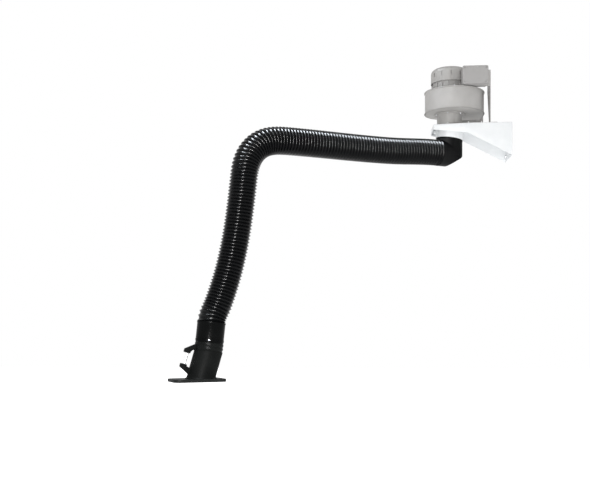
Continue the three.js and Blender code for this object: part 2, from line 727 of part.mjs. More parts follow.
function frictionDisc(side) {
  const [from, to] = [TUBE_SIZE / 2 + FIT, CHEEK_INSIDE - FIT];
  const disc = ring(PIN_RADIUS + PIN_PLAY, DISC_RADIUS, from, to, SMALL_SIDES);
  return alongY(side > 0 ? disc : disc.translate([0, 0, -from - to]));
}

// Torsion spring round the pin: a few open turns of round wire, seated between cheek and pin head
function torsionSpring() {
  const wire = SPRING_WIRE / 2;
  const steps = SPRING_TURNS * SMALL_SIDES;
  const from = CHEEK_OUTSIDE + FIT + wire;
  const rings = [];
  for (let i = 0; i <= steps; i++) {
    const turn = 2 * Math.PI * SPRING_TURNS * (i / steps);
    const rise = from + (springRoom - FIT - SPRING_WIRE) * (i / steps);
    const points = [];
    for (let j = 0; j < SPRING_SIDES; j++) {
      const around = (2 * Math.PI * j) / SPRING_SIDES;
      const radius = SPRING_COIL_RADIUS + wire * Math.cos(around);
      const across = rise + wire * Math.sin(around);
      points.push(new THREE.Vector3(radius * Math.cos(turn), across, radius * Math.sin(turn)));
    }
    rings.push(points);
  }
  return capped(rings);
}

// Upper limb, lower limb and hood stem, each in a group at its pivot
function limbGroup(out, height, risen) {
  const group = new THREE.Group();
  group.position.set(-out, 0, height);
  group.rotation.y = risen;
  swing.add(group);
  return group;
}
const upperRise = radians(UPPER_RISE_DEG);
const lowerFall = radians(90 - LOWER_LEAN_DEG);
const shoulder = new THREE.Vector2(SHOULDER_OUT, armHeight);
const upperWay = new THREE.Vector2(Math.cos(upperRise), Math.sin(upperRise));
const elbow = shoulder.clone().addScaledVector(upperWay, UPPER_LENGTH);
const lowerWay = new THREE.Vector2(Math.cos(lowerFall), -Math.sin(lowerFall));
const hoodPivot = elbow.clone().addScaledVector(lowerWay, LOWER_LENGTH);

const shoulderBase = limbGroup(shoulder.x, shoulder.y, 0);
const upper = limbGroup(shoulder.x, shoulder.y, upperRise);
const upperEnd = limbGroup(elbow.x, elbow.y, upperRise);
const lower = limbGroup(elbow.x, elbow.y, -lowerFall);
const lowerEnd = limbGroup(hoodPivot.x, hoodPivot.y, -lowerFall);

// The shoulder's fork stands on a bridge across the elbow's collar
function shoulderFork() {
  const bridgeFrom = SHOULDER_OUT - ELBOW_FACE - FIT;
  const bridge = block(
    [bridgeFrom - BRIDGE_THICKNESS, -BRIDGE_WIDTH / 2, -ELBOW_RADIUS],
    [bridgeFrom, BRIDGE_WIDTH / 2, ELBOW_RADIUS],
  ).intersect(alongX(rod(collarInner - FIT, 0, SHOULDER_OUT)));
  return forkCheeks(bridgeFrom).add(bridge).subtract(pinHole);
}
add(shoulderBase, "shoulder_fork", shoulderFork(), zincSteel);
add(upperEnd, "elbow_fork", tubeFork(), zincSteel);
add(lowerEnd, "hood_fork", tubeFork(), zincSteel);
add(upper, "upper_eye", tubeEye(), zincSteel);
add(lower, "lower_eye", tubeEye(), zincSteel);
add(upper, "upper_tube", squareTube(UPPER_LENGTH), zincSteel);
add(lower, "lower_tube", squareTube(LOWER_LENGTH), zincSteel);
const pinnedJoints = [
  ["shoulder", shoulderBase, true],
  ["elbow", upperEnd, true],
  ["hood", lowerEnd, false],
];
for (const [name, place, sprung] of pinnedJoints) {
  add(place, name + "_pin", pivotPin(sprung), zincSteel);
  add(place, name + "_disc_left", frictionDisc(-1), blackRubber);
  add(place, name + "_disc_right", frictionDisc(1), blackRubber);
  if (sprung) {
    add(place, name + "_spring", torsionSpring(), zincSteel);
  }
}

// Hose route in the plane of the arm: out from the elbow, over the elbow joint, down and into the cuff
function leaning(degrees) {
  return new THREE.Vector2(Math.sin(radians(degrees)), -Math.cos(radians(degrees)));
}
const stemWay = leaning(STEM_LEAN_DEG);
const routeStart = new THREE.Vector2(ELBOW_FACE + FIT, armHeight);
const upperNormal = new THREE.Vector2(-upperWay.y, upperWay.x);
const lowerNormal = new THREE.Vector2(lowerWay.y, -lowerWay.x);
const bendStart = elbow.clone()
  .addScaledVector(upperWay, -ELBOW_BEND_BACK)
  .addScaledVector(upperNormal, ELBOW_BEND_RISE);
const bendMiddle = elbow.clone().sub(new THREE.Vector2(ELBOW_MIDDLE_BACK, ELBOW_MIDDLE_DROP));
const bendEnd = elbow.clone()
  .addScaledVector(lowerWay, ELBOW_BEND_DOWN)
  .addScaledVector(lowerNormal, -ELBOW_BEND_OUT);
const lowerStop = hoodPivot.clone()
  .addScaledVector(lowerWay, -HOOD_BEND_UP)
  .addScaledVector(lowerNormal, HOOD_BEND_IN);
const cuffMouth = hoodPivot.clone().addScaledVector(stemWay, CUFF_TOP - FIT);

function stretch(from, fromWay, to, toWay) {
  const hold = from.distanceTo(to) * HOSE_STIFFNESS;
  const leave = from.clone().addScaledVector(fromWay, hold);
  const arrive = to.clone().addScaledVector(toWay, -hold);
  const points = [from, leave, arrive, to].map((point) => new THREE.Vector3(-point.x, 0, point.y));
  return new THREE.CubicBezierCurve3(...points);
}
const levelWay = new THREE.Vector2(1, 0);
const bendInWay = leaning(90 + UPPER_RISE_DEG + UPPER_HOSE_RISE_DEG);
const bendOutWay = leaning(LOWER_HOSE_LEAN_DEG);
const bendMiddleWay = bendInWay.clone().add(bendOutWay).normalize();
const lowerStopWay = leaning(LOWER_HOSE_END_LEAN_DEG);
const hoseRoute = new THREE.CurvePath();
hoseRoute.add(stretch(routeStart, levelWay, bendStart, bendInWay));
hoseRoute.add(stretch(bendStart, bendInWay, bendMiddle, bendMiddleWay));
hoseRoute.add(stretch(bendMiddle, bendMiddleWay, bendEnd, bendOutWay));
hoseRoute.add(stretch(bendEnd, bendOutWay, lowerStop, lowerStopWay));
hoseRoute.add(stretch(lowerStop, lowerStopWay, cuffMouth, stemWay));
const [upperReach, , bendReach, , routeLength] = hoseRoute.getCurveLengths();

function hoseRing(distance, radius) {
  const at = THREE.MathUtils.clamp(distance / routeLength, 0, 1);
  const centre = hoseRoute.getPoint(at);
  const way = hoseRoute.getTangent(at);
  const up = new THREE.Vector3(-way.z, 0, way.x);
  const points = [];
  for (let i = 0; i < HOSE_SIDES; i++) {
    const angle = (2 * Math.PI * i) / HOSE_SIDES;
    const point = centre.clone().addScaledVector(up, radius * Math.cos(angle));
    point.y += radius * Math.sin(angle);
    points.push(point);
  }
  return points;
}

// A stretch of corrugated hose: ridges outside, a plain bore inside
function hoseStretch(from, to, boreStep) {
  const [start, end] = [from + FIT / 2, to - FIT / 2];
  const ridges = Math.max(1, Math.round((end - start) / HOSE_PITCH));
  const boreSteps = Math.max(2, Math.round((end - start) / boreStep));
  const outer = [];
  for (let i = 0; i <= 2 * ridges; i++) {
    const radius = i % 2 ? HOSE_CREST_RADIUS : HOSE_ROOT_RADIUS;
    outer.push(hoseRing(start + ((end - start) * i) / (2 * ridges), radius));
  }
  const inner = [];
  for (let i = 0; i <= boreSteps; i++) {
    inner.push(hoseRing(start + ((end - start) * i) / boreSteps, HOSE_BORE_RADIUS));
  }
  return skin(outer, inner);
}

const hoodBendStart = routeLength - HOOD_BEND_LENGTH;
add(swing, "hose_shoulder_bend", hoseStretch(0, SHOULDER_BEND_LENGTH, BEND_BORE_STEP), blackHose);
add(swing, "hose_upper", hoseStretch(SHOULDER_BEND_LENGTH, upperReach, LIMB_BORE_STEP), blackHose);
add(swing, "hose_elbow_bend", hoseStretch(upperReach, bendReach, BEND_BORE_STEP), blackHose);
add(swing, "hose_lower", hoseStretch(bendReach, hoodBendStart, LIMB_BORE_STEP), blackHose);
add(swing, "hose_hood_bend", hoseStretch(hoodBendStart, routeLength, BEND_BORE_STEP), blackHose);

// Cuff and its clamp on the spider of the stem; Z runs up the stem from the hood's pivot
const stem = limbGroup(hoodPivot.x, hoodPivot.y, radians(STEM_LEAN_DEG));
const collarTop = -(COLLAR_BELOW_PIVOT - HOOD_COLLAR_HEIGHT / 2);
const collarBottom = collarTop - HOOD_COLLAR_HEIGHT;
const stemEnd = -(COLLAR_BELOW_PIVOT + STEM_TAIL);
const cuffBottom = collarTop + 2 * FIT;
const cuffBore = CUFF_RADIUS - CUFF_WALL;

function hoodStem() {
  const half = TUBE_SIZE / 2;
  const boss = alongY(rod(EYE_RADIUS, -half, half, SMALL_SIDES));
  return boss.add(rod(STEM_RADIUS, stemEnd, 0, SMALL_SIDES)).subtract(pinHole);
}
add(stem, "hood_stem", hoodStem(), zincSteel);
const stemHole = rod(STEM_RADIUS + PIN_PLAY, stemEnd, 0, SMALL_SIDES);

function spider(ringOuter, low, high) {
  const spokeTop = low + SPIDER_RING_HEIGHT;
  const spoke = block(
    [0, -SPOKE_THICKNESS / 2, low],
    [ringOuter - SPIDER_RING_WALL / 2, SPOKE_THICKNESS / 2, spokeTop],
  );
  const hub = rod(HUB_RADIUS, low, spokeTop, SMALL_SIDES);
  let made = ring(ringOuter - SPIDER_RING_WALL, ringOuter, low, high).add(hub);
  for (let i = 0; i < SPOKE_COUNT; i++) {
    made = made.add(spoke.rotate([0, 0, 90 + (360 * i) / SPOKE_COUNT]));
  }
  return made.subtract(stemHole);
}
const cuffRingBottom = cuffBottom + FIT;
const cuffRingTop = cuffRingBottom + CUFF_RING_HEIGHT;
add(stem, "cuff_spider", spider(cuffBore - FIT, cuffRingBottom, cuffRingTop), zincSteel);
add(stem, "hose_cuff", revolve([
  [cuffBore, cuffBottom],
  [CUFF_RADIUS, cuffBottom],
  [CUFF_RADIUS, -CUFF_TOP],
  [cuffBore, -CUFF_TOP],
  [cuffBore, cuffBottom],
]), blackRubber);

// Worm-drive clamp: a band with its screw housing on the side the operator sees
function bandClamp(radius, low) {
  const bandInner = radius + FIT;
  const band = ring(bandInner, bandInner + CLAMP_THICKNESS, low, low + CLAMP_WIDTH);
  const half = CLAMP_HOUSING_LENGTH / 2;
  const housingFront = -bandInner - CLAMP_HOUSING_HEIGHT;
  const housingBack = -bandInner - CLAMP_THICKNESS / 2;
  const housing = block([-half, housingFront, low], [half, housingBack, low + CLAMP_WIDTH]);
  const screwEnd = CLAMP_SCREW_LENGTH / 2;
  const screw = alongX(rod(CLAMP_SCREW_RADIUS, -screwEnd, screwEnd, SMALL_SIDES));
  const screwY = (housingFront + housingBack) / 2;
  return band.add(housing).add(screw.translate([0, screwY, low + CLAMP_WIDTH / 2]));
}
add(stem, "cuff_clamp", bandClamp(CUFF_RADIUS, cuffBottom + CLAMP_ABOVE_RIM), zincSteel);

// Hood collar with two ribs, on the hood's own spider, which turns on the stem above its nut
const ribTop = (at) => collarTop - HOOD_COLLAR_HEIGHT * at;
const collarBore = HOOD_RADIUS - 2 * HOOD_WALL;
add(stem, "hood_collar", revolve([
  [collarBore, collarBottom],
  [HOOD_RADIUS, collarBottom],
  [HOOD_RADIUS, ribTop(0.85)],
  [HOOD_RADIUS + HOOD_COLLAR_RIB, ribTop(0.75)],
  [HOOD_RADIUS + HOOD_COLLAR_RIB, ribTop(0.6)],
  [HOOD_RADIUS, ribTop(0.5)],
  [HOOD_RADIUS + HOOD_COLLAR_RIB, ribTop(0.35)],
  [HOOD_RADIUS + HOOD_COLLAR_RIB, ribTop(0.15)],
  [HOOD_RADIUS, ribTop(0)],
  [collarBore, ribTop(0)],
  [collarBore, collarBottom],
]), blackPlastic);
const spiderBottom = collarBottom + 2 * FIT;
const spiderTop = spiderBottom + SPIDER_RING_HEIGHT;
add(stem, "hood_spider", spider(collarBore - FIT, spiderBottom, spiderTop), zincSteel);
const nutTop = spiderBottom - FIT;
const nutSides = 6;
const nut = rod(NUT_RADIUS, nutTop - NUT_HEIGHT, nutTop, nutSides).subtract(stemHole);
add(stem, "stem_nut", nut, zincSteel);

// Hood body: leans further than its collar and ends in a level mouth with a small flare.
// Its frame has Z up the body's axis from the collar's lower edge; the handle side is -X.
const body = new THREE.Group();
body.position.z = collarBottom - FIT;
body.rotation.y = radians(HOOD_LEAN_DEG - STEM_LEAN_DEG);
stem.add(body);
const mouthSlope = Math.tan(radians(HOOD_LEAN_DEG));
const kinkSlope = Math.tan(radians(HOOD_LEAN_DEG - STEM_LEAN_DEG));

function hoodSkin(inset) {
  const flareFrom = 1 - HOOD_FLARE_HEIGHT / HOOD_LENGTH;
  const heights = [0, 0.5, flareFrom, 0.4 * flareFrom + 0.6, 1];
  const flares = [0, 0, 0, 0.35, 1];
  return heights.map((fraction, level) => {
    const radius = HOOD_RADIUS - inset + HOOD_FLARE * flares[level];
    const points = [];
    for (let i = 0; i < ROUND_SIDES; i++) {
      const angle = (2 * Math.PI * i) / ROUND_SIDES;
      const x = radius * Math.cos(angle);
      const topZ = x * kinkSlope;
      const mouthZ = -HOOD_LENGTH + x * mouthSlope;
      points.push(new THREE.Vector3(x, radius * Math.sin(angle), topZ + (mouthZ - topZ) * fraction));
    }
    return points;
  });
}
add(body, "hood_shell", skin(hoodSkin(0), hoodSkin(HOOD_WALL)), blackPlastic);

// Mouth flange: level, round-cornered, turned down along its rim, longer on the handle side
const mouth = new THREE.Group();
mouth.position.z = -HOOD_LENGTH;
mouth.rotation.y = -radians(HOOD_LEAN_DEG);
body.add(mouth);
function hoodFlange() {
  const [from, to] = [-FLANGE_LENGTH / 2 - FLANGE_SHIFT, FLANGE_LENGTH / 2 - FLANGE_SHIFT];
  const half = FLANGE_WIDTH / 2;
  const plate = roundedRectangle(from, to, -half, half, FLANGE_CORNER);
  const inset = half - FLANGE_WALL;
  const pocketCorner = FLANGE_CORNER - FLANGE_WALL;
  const pocket = roundedRectangle(from + FLANGE_WALL, to - FLANGE_WALL, -inset, inset, pocketCorner);
  const hole = rod(HOOD_RADIUS + HOOD_FLARE - HOOD_WALL, -2 * FLANGE_HEIGHT, FLANGE_HEIGHT)
    .scale([1 / Math.cos(radians(HOOD_LEAN_DEG)), 1, 1]);
  return prism(plate, -FIT - FLANGE_HEIGHT, -FIT)
    .subtract(prism(pocket, -2 * FLANGE_HEIGHT, -FIT - FLANGE_WALL))
    .subtract(hole);
}
add(mouth, "hood_flange", hoodFlange(), blackPlastic);

// Handle: two moulded arms with sockets, and a bright grip between them
const gripX = -(HOOD_RADIUS + GRIP_STAND_OFF);
const upperSocket = -GRIP_SHOWN_TOP;
const lowerSocket = upperSocket - GRIP_SHOWN_LENGTH;
const gripTop = upperSocket + GRIP_IN_SOCKET;
const gripBottom = lowerSocket - GRIP_IN_SOCKET;
const gripBore = rod(GRIP_RADIUS + FIT, gripBottom - FIT, gripTop + FIT, SMALL_SIDES)
  .translate([gripX, 0, 0]);
const collarSeat = rod(HOOD_RADIUS + HOOD_COLLAR_RIB + FIT, 0, 2 * HOOD_COLLAR_HEIGHT)
  .rotate([0, -(HOOD_LEAN_DEG - STEM_LEAN_DEG), 0]);
const handleSeat = rod(HOOD_RADIUS + FIT, -2 * HOOD_LENGTH, HOOD_LENGTH).add(collarSeat);

// A wedge from its root on the hood to the socket; side is +1 above the grip and -1 below it
function handleArm(side, socketEnd, rootReach, rootSlim) {
  const rootX = -HOOD_RADIUS + HANDLE_ROOT_INSIDE;
  const tipInside = gripX + HANDLE_TIP_INSIDE;
  const tipOutside = gripX - HANDLE_TIP_OUTSIDE;
  const shape = outline([
    [tipInside, socketEnd],
    [tipOutside, socketEnd],
    [tipOutside, socketEnd + side * HANDLE_TIP_HEIGHT],
    [-HOOD_RADIUS, socketEnd + side * (HANDLE_TIP_HEIGHT + rootReach)],
    [rootX, socketEnd + side * (HANDLE_TIP_HEIGHT + rootReach)],
    [rootX, socketEnd + side * rootSlim],
    [tipInside + HANDLE_NOTCH_LENGTH, socketEnd + side * rootSlim],
    [tipInside, socketEnd + side * HANDLE_NOTCH_HEIGHT],
  ]);
  return sidePrism(shape, -HANDLE_WIDTH / 2, HANDLE_WIDTH / 2)
    .subtract(handleSeat)
    .subtract(gripBore);
}
const grip = rod(GRIP_RADIUS, gripBottom, gripTop, SMALL_SIDES).translate([gripX, 0, 0]);
const upperArm = handleArm(1, upperSocket, HANDLE_TOP_RISE, HANDLE_TOP_SLIM);
const lowerArm = handleArm(-1, lowerSocket, HANDLE_BOTTOM_FALL, HANDLE_BOTTOM_SLIM);
add(body, "handle_upper_arm", upperArm, blackPlastic);
add(body, "handle_lower_arm", lowerArm, blackPlastic);
add(body, "handle_grip", grip, brightMetal);

export default arm;
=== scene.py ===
# Visual model of a wall-mounted fume extraction arm, in metres, +Z up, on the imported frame.
import json
import math

import bpy
from mathutils import Matrix, Vector


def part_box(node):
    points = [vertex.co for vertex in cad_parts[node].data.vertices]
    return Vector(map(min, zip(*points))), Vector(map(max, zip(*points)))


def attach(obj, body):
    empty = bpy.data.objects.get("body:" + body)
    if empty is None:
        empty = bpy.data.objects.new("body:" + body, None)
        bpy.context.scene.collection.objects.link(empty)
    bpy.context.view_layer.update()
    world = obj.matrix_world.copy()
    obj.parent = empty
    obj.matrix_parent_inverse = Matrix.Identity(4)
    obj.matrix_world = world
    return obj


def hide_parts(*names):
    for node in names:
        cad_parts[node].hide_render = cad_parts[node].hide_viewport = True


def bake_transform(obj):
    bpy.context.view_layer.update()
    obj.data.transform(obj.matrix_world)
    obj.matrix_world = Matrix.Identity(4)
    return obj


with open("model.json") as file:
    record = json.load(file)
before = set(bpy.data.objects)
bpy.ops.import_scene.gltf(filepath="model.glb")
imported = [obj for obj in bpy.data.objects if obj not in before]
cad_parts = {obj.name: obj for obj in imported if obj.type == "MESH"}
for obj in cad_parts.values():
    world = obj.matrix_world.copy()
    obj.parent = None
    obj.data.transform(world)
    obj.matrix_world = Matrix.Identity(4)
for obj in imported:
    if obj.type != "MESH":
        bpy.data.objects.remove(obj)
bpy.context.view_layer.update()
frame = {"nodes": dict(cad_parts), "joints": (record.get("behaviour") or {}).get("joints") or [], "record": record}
joints = {joint["name"]: Vector(joint["pos_m"]) for joint in frame["joints"]}

# Camera: far back, a little to the right of square on, and low, at about the height of the hood.
# The picture is shifted, so the horizon lies well below its middle and upright edges stay upright.
PICTURE_WIDTH = 590
FOCAL_PIXELS = 850
HORIZON_DROP = 90
SENSOR_WIDTH = 36
CAMERA_PLACE = (-1.0513, -5.842, -1.2685)
CAMERA_TURN = math.radians(3.93)
bpy.ops.object.camera_add(location=CAMERA_PLACE, rotation=(math.radians(90), 0, CAMERA_TURN))
camera = bpy.context.object
camera.data.sensor_width = SENSOR_WIDTH
camera.data.lens = SENSOR_WIDTH * FOCAL_PIXELS / PICTURE_WIDTH
camera.data.shift_y = HORIZON_DROP / PICTURE_WIDTH
bpy.context.scene.camera = camera
bpy.context.scene.view_settings.view_transform = "Standard"

# Wall bracket: one folded steel sheet, open below, with cheeks that deepen towards the wall.
# Powder coated white over soft bends, with a duct hole in its top and four holes for wall bolts.
NEAR = 0.001
FIT = 0.0003
ROUND = 96
SHEET = 0.003
BEND_RADIUS = 0.005
KINK_OUT = 0.294
KINK_DROP = 0.066
NOSE_DROP = 0.035
NOSE_HALF_WIDTH = 0.095
DUCT_RADIUS = 0.080
WALL_HOLE_RADIUS = 0.0055
WALL_HOLE_EDGE = 0.035
WALL_HOLE_HEIGHT = 0.075
swivel_axis = Vector((joints["swivel_turn"].x, joints["swivel_turn"].y, 0))


def calculate(tree, operation, *values):
    """The result of a math node on sockets and numbers."""
    node = tree.nodes.new("ShaderNodeMath")
    node.operation = operation
    for value, socket in zip(values, node.inputs):
        if isinstance(value, float):
            socket.default_value = value
        else:
            tree.links.new(value, socket)
    return node.outputs[0]


def remap(tree, value, source, target=(0.0, 1.0)):
    """A socket's value moved from one range to another."""
    node = tree.nodes.new("ShaderNodeMapRange")
    for name, number in zip(("From Min", "From Max", "To Min", "To Max"), source + target):
        node.inputs[name].default_value = number
    tree.links.new(value, node.inputs["Value"])
    return node.outputs[0]


def noise(tree, place, scale, detail):
    node = tree.nodes.new("ShaderNodeTexNoise")
    node.inputs["Scale"].default_value = scale
    node.inputs["Detail"].default_value = detail
    tree.links.new(place, node.inputs["Vector"])
    return node.outputs[0]


def coating(name, dark, light, roughness, grain, depth, worn=None, metallic=0.0, specular=0.5):
    """A coated or moulded surface: cloudy colour and gloss, fine grain, and worn edges."""
    material = bpy.data.materials.new(name)
    material.use_nodes = True
    tree = material.node_tree
    nodes, link = tree.nodes, tree.links.new
    shader = nodes["Principled BSDF"]
    shader.inputs["Metallic"].default_value = metallic
    shader.inputs["Specular IOR Level"].default_value = specular
    place = nodes.new("ShaderNodeTexCoord").outputs["Object"]
    cloud = noise(tree, place, scale=9, detail=7)
    tint = nodes.new("ShaderNodeValToRGB")
    for stop, position, shade in zip(tint.color_ramp.elements, (0.32, 0.68), (dark, light)):
        stop.position = position
        stop.color = (*shade, 1)
    link(cloud, tint.inputs[0])
    colour = tint.outputs[0]
    if worn:
        shape = nodes.new("ShaderNodeNewGeometry")
        edge = remap(tree, shape.outputs["Pointiness"], (0.53, 0.62))
        mix = nodes.new("ShaderNodeMix")
        mix.data_type = "RGBA"
        mix.inputs[7].default_value = (*worn, 1)
        link(calculate(tree, "MULTIPLY", edge, cloud), mix.inputs[0])
        link(colour, mix.inputs[6])
        colour = mix.outputs[2]
    link(colour, shader.inputs["Base Color"])
    link(remap(tree, cloud, (0.3, 0.7), roughness), shader.inputs["Roughness"])
    bump = nodes.new("ShaderNodeBump")
    bump.inputs["Strength"].default_value = depth
    bump.inputs["Distance"].default_value = 0.0006
    link(noise(tree, place, scale=grain, detail=3), bump.inputs["Height"])
    link(bump.outputs[0], shader.inputs["Normal"])
    return material


def activate(piece):
    if bpy.context.mode != "OBJECT":
        bpy.ops.object.mode_set(mode="OBJECT")
    bpy.ops.object.select_all(action="DESELECT")
    piece.select_set(True)
    bpy.context.view_layer.objects.active = piece


def settle(piece):
    """Put the piece's place, turn and size into its mesh."""
    activate(piece)
    bpy.ops.object.transform_apply(location=True, rotation=True, scale=True)


def edit(piece, kind, wanted):
    """Enter edit mode with the vertices, edges or faces selected that are wanted."""
    activate(piece)
    bpy.ops.object.mode_set(mode="EDIT")
    bpy.ops.mesh.select_mode(type=kind)
    bpy.ops.mesh.select_all(action="DESELECT")
    bpy.ops.object.mode_set(mode="OBJECT")
    points = piece.data.vertices
    if kind == "VERT":
        for vertex in points:
            vertex.select = wanted(vertex.co)
    elif kind == "EDGE":
        for line in piece.data.edges:
            line.select = wanted(points[line.vertices[0]].co, points[line.vertices[1]].co)
    else:
        for face in piece.data.polygons:
            face.select = wanted(face.center, face.normal)
    bpy.ops.object.mode_set(mode="EDIT")


def close_edit():
    """Turn all faces outwards and leave edit mode."""
    bpy.ops.mesh.select_all(action="SELECT")
    bpy.ops.mesh.normals_make_consistent(inside=False)
    bpy.ops.object.mode_set(mode="OBJECT")


def apply(piece, kind, **settings):
    activate(piece)
    modifier = piece.modifiers.new(kind, kind)
    for setting, value in settings.items():
        setattr(modifier, setting, value)
    bpy.ops.object.modifier_apply(modifier=modifier.name)


def round_edges(piece, width, segments=3, angle=32):
    apply(piece, "BEVEL", width=width, segments=segments, limit_method="ANGLE",
          angle_limit=math.radians(angle))


def cut(piece, cutter):
    apply(piece, "BOOLEAN", operation="DIFFERENCE", solver="EXACT", object=cutter)
    bpy.data.objects.remove(cutter)


def cuboid(low, high):
    low, high = Vector(low), Vector(high)
    bpy.ops.mesh.primitive_cube_add(size=1, location=(low + high) / 2, scale=high - low)
    settle(bpy.context.object)
    return bpy.context.object


def rod(radius, start, end, sides=48):
    """A closed cylinder from one point to another."""
    way = Vector(end) - Vector(start)
    turn = Vector((0, 0, 1)).rotation_difference(way).to_euler()
    bpy.ops.mesh.primitive_cylinder_add(
        vertices=sides, radius=radius, depth=way.length,
        location=(Vector(start) + Vector(end)) / 2, rotation=turn)
    settle(bpy.context.object)
    return bpy.context.object


def join(*pieces):
    activate(pieces[0])
    for piece in pieces:
        piece.select_set(True)
    bpy.ops.object.join()
    return bpy.context.object


def repeat(piece, places):
    """Copies of a finished piece at each place, joined into one."""
    copies = []
    for place in places:
        copy = piece.copy()
        copy.data = piece.data.copy()
        bpy.context.collection.objects.link(copy)
        copy.matrix_world = place
        settle(copy)
        copies.append(copy)
    bpy.data.objects.remove(piece)
    return join(*copies)


def keep(piece, name, material, slot, body, *nodes, angle=32):
    """Finish a piece: name, finish, smooth faces, and the body and nodes that it stands for."""
    piece.name = name
    piece.data.name = name
    piece.data.materials.clear()
    piece.data.materials.append(material)
    activate(piece)
    bpy.ops.object.shade_smooth_by_angle(angle=math.radians(angle))
    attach(piece, body)
    if nodes:
        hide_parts(*nodes)


white_powder = coating(
    "white_powder", (0.79, 0.81, 0.82), (0.85, 0.865, 0.875), (0.32, 0.44), 900, 0.12,
    worn=(0.74, 0.75, 0.76), specular=0.06)
bracket_low, bracket_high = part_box("wall_bracket")
bracket = cuboid(bracket_low, bracket_high)
edit(bracket, "VERT", lambda place: True)
bpy.ops.mesh.bisect(plane_co=(-KINK_OUT, 0, 0), plane_no=(1, 0, 0))
edit(bracket, "VERT", lambda place: place.x < bracket_low.x + NEAR)
bpy.ops.transform.resize(value=(1, NOSE_HALF_WIDTH / bracket_high.y, 1))
for out, drop in ((bracket_low.x, NOSE_DROP), (-KINK_OUT, KINK_DROP)):
    edit(bracket, "VERT", lambda place: abs(place.x - out) < NEAR and place.z < 0)
    bpy.ops.transform.translate(value=(0, 0, bracket_high.z - drop - bracket_low.z))
edit(bracket, "FACE", lambda place, way: way.z < -0.2)
bpy.ops.mesh.delete(type="FACE")
bpy.ops.object.mode_set(mode="OBJECT")
round_edges(bracket, BEND_RADIUS, 4, 14)
apply(bracket, "SOLIDIFY", thickness=SHEET, offset=-1, use_even_offset=True)
cut(bracket, rod(DUCT_RADIUS, swivel_axis, swivel_axis + Vector((0, 0, 0.2)), ROUND))
bolt_side = bracket_high.y - WALL_HOLE_EDGE
wall_bolt_spots = [(y, z) for y in (-bolt_side, bolt_side)
                   for z in (-WALL_HOLE_HEIGHT, WALL_HOLE_HEIGHT)]
cut(bracket, join(*[rod(WALL_HOLE_RADIUS, (-0.02, y, z), (0.02, y, z), 24)
                    for y, z in wall_bolt_spots]))
round_edges(bracket, 0.0006, 2, 60)
keep(bracket, "bracket_sheet", white_powder, "white_powder", "bracket", "wall_bracket")

# Bolts: zinc-plated hexagon bolts with washers, four through the wall plate.
# The same bolt, at a smaller size, holds the fan's flanges.


def plated(name, colour, roughness):
    """Zinc-plated or bright metal with a faint grain and cloudy gloss."""
    light = tuple(min(1, part * 1.12) for part in colour)
    return coating(name, colour, light, roughness, 420, 0.08, metallic=1.0)


def bolt(size):
    """A hexagon bolt with its washer, standing on Z=0 with the head upwards."""
    washer = rod(size * 1.08, (0, 0, 0), (0, 0, size * 0.2), 32)
    head = rod(size * 0.98, (0, 0, size * 0.2), (0, 0, size * 0.85), 6)
    made = join(washer, head)
    round_edges(made, size * 0.06, 2, 40)
    return made


zinc_steel = plated("zinc_steel", (0.5, 0.51, 0.53), (0.3, 0.45))
outward = Matrix.Rotation(math.radians(-90), 4, "Y")
wall_bolts = repeat(
    bolt(0.010), [Matrix.Translation((-SHEET, y, z)) @ outward for y, z in wall_bolt_spots])
keep(wall_bolts, "wall_bolts", zinc_steel, "zinc_steel", "bracket")

# Swivel bearing: a turned steel ring under the bracket that carries the neck of the elbow.
# A sheet skirt, cut at a slant, hangs from it round the neck; both are coated white.
NECK_BORE = 0.0885
RACE_BORE = 0.102
LEDGE = 0.010
SKIRT_BORE = 0.0892
SKIRT_RADIUS = 0.0912
SKIRT_RIM_RADIUS = 0.098
SKIRT_RIM_DROP = 0.0035
SKIRT_BOTTOM = 0.0255
SKIRT_SLANT = math.radians(7.5)


def draw(points):
    """A line of vertices through the points, drawn by extruding one vertex."""
    bpy.ops.object.select_all(action="DESELECT")
    bpy.ops.mesh.primitive_plane_add(size=0.001)
    bpy.ops.object.mode_set(mode="EDIT")
    bpy.ops.mesh.select_mode(type="VERT")
    bpy.ops.mesh.select_all(action="SELECT")
    bpy.ops.mesh.merge(type="CENTER")
    bpy.ops.transform.translate(value=points[0])
    for here, there in zip(points, points[1:]):
        bpy.ops.mesh.extrude_region_move(
            TRANSFORM_OT_translate={"value": Vector(there) - Vector(here)})
    bpy.ops.mesh.select_all(action="SELECT")
    return bpy.context.object


def turned(profile, sides=ROUND, closed=True):
    """A piece turned about Z from a profile of (radius, height) points."""
    outline = profile + profile[:1] if closed else profile
    piece = draw([(radius, 0, height) for radius, height in outline])
    bpy.ops.mesh.spin(steps=sides, angle=2 * math.pi, center=(0, 0, 0), axis=(0, 0, 1))
    bpy.ops.mesh.select_all(action="SELECT")
    bpy.ops.mesh.remove_doubles(threshold=0.00002)
    close_edit()
    return piece


def put(piece, place):
    piece.matrix_world = place
    settle(piece)
    return piece


bearing_low, bearing_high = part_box("swivel_bearing")
bearing_radius = bearing_high.x - swivel_axis.x
on_axis = Matrix.Translation(swivel_axis)
bearing = turned([
    (NECK_BORE, bearing_low.z), (bearing_radius, bearing_low.z), (bearing_radius, bearing_high.z),
    (RACE_BORE, bearing_high.z), (RACE_BORE, bearing_low.z + LEDGE),
    (NECK_BORE, bearing_low.z + LEDGE)])
round_edges(bearing, 0.0012)
put(bearing, on_axis)
keep(bearing, "bearing_ring", white_powder, "white_powder", "bracket", "swivel_bearing")
skirt_rim = bearing_low.z - SKIRT_RIM_DROP
skirt_top = bearing_low.z - FIT
skirt = turned([
    (SKIRT_BORE, 0), (SKIRT_RADIUS, 0), (SKIRT_RADIUS, skirt_rim), (SKIRT_RIM_RADIUS, skirt_rim),
    (SKIRT_RIM_RADIUS, skirt_top), (SKIRT_BORE, skirt_top)])
put(skirt, on_axis)
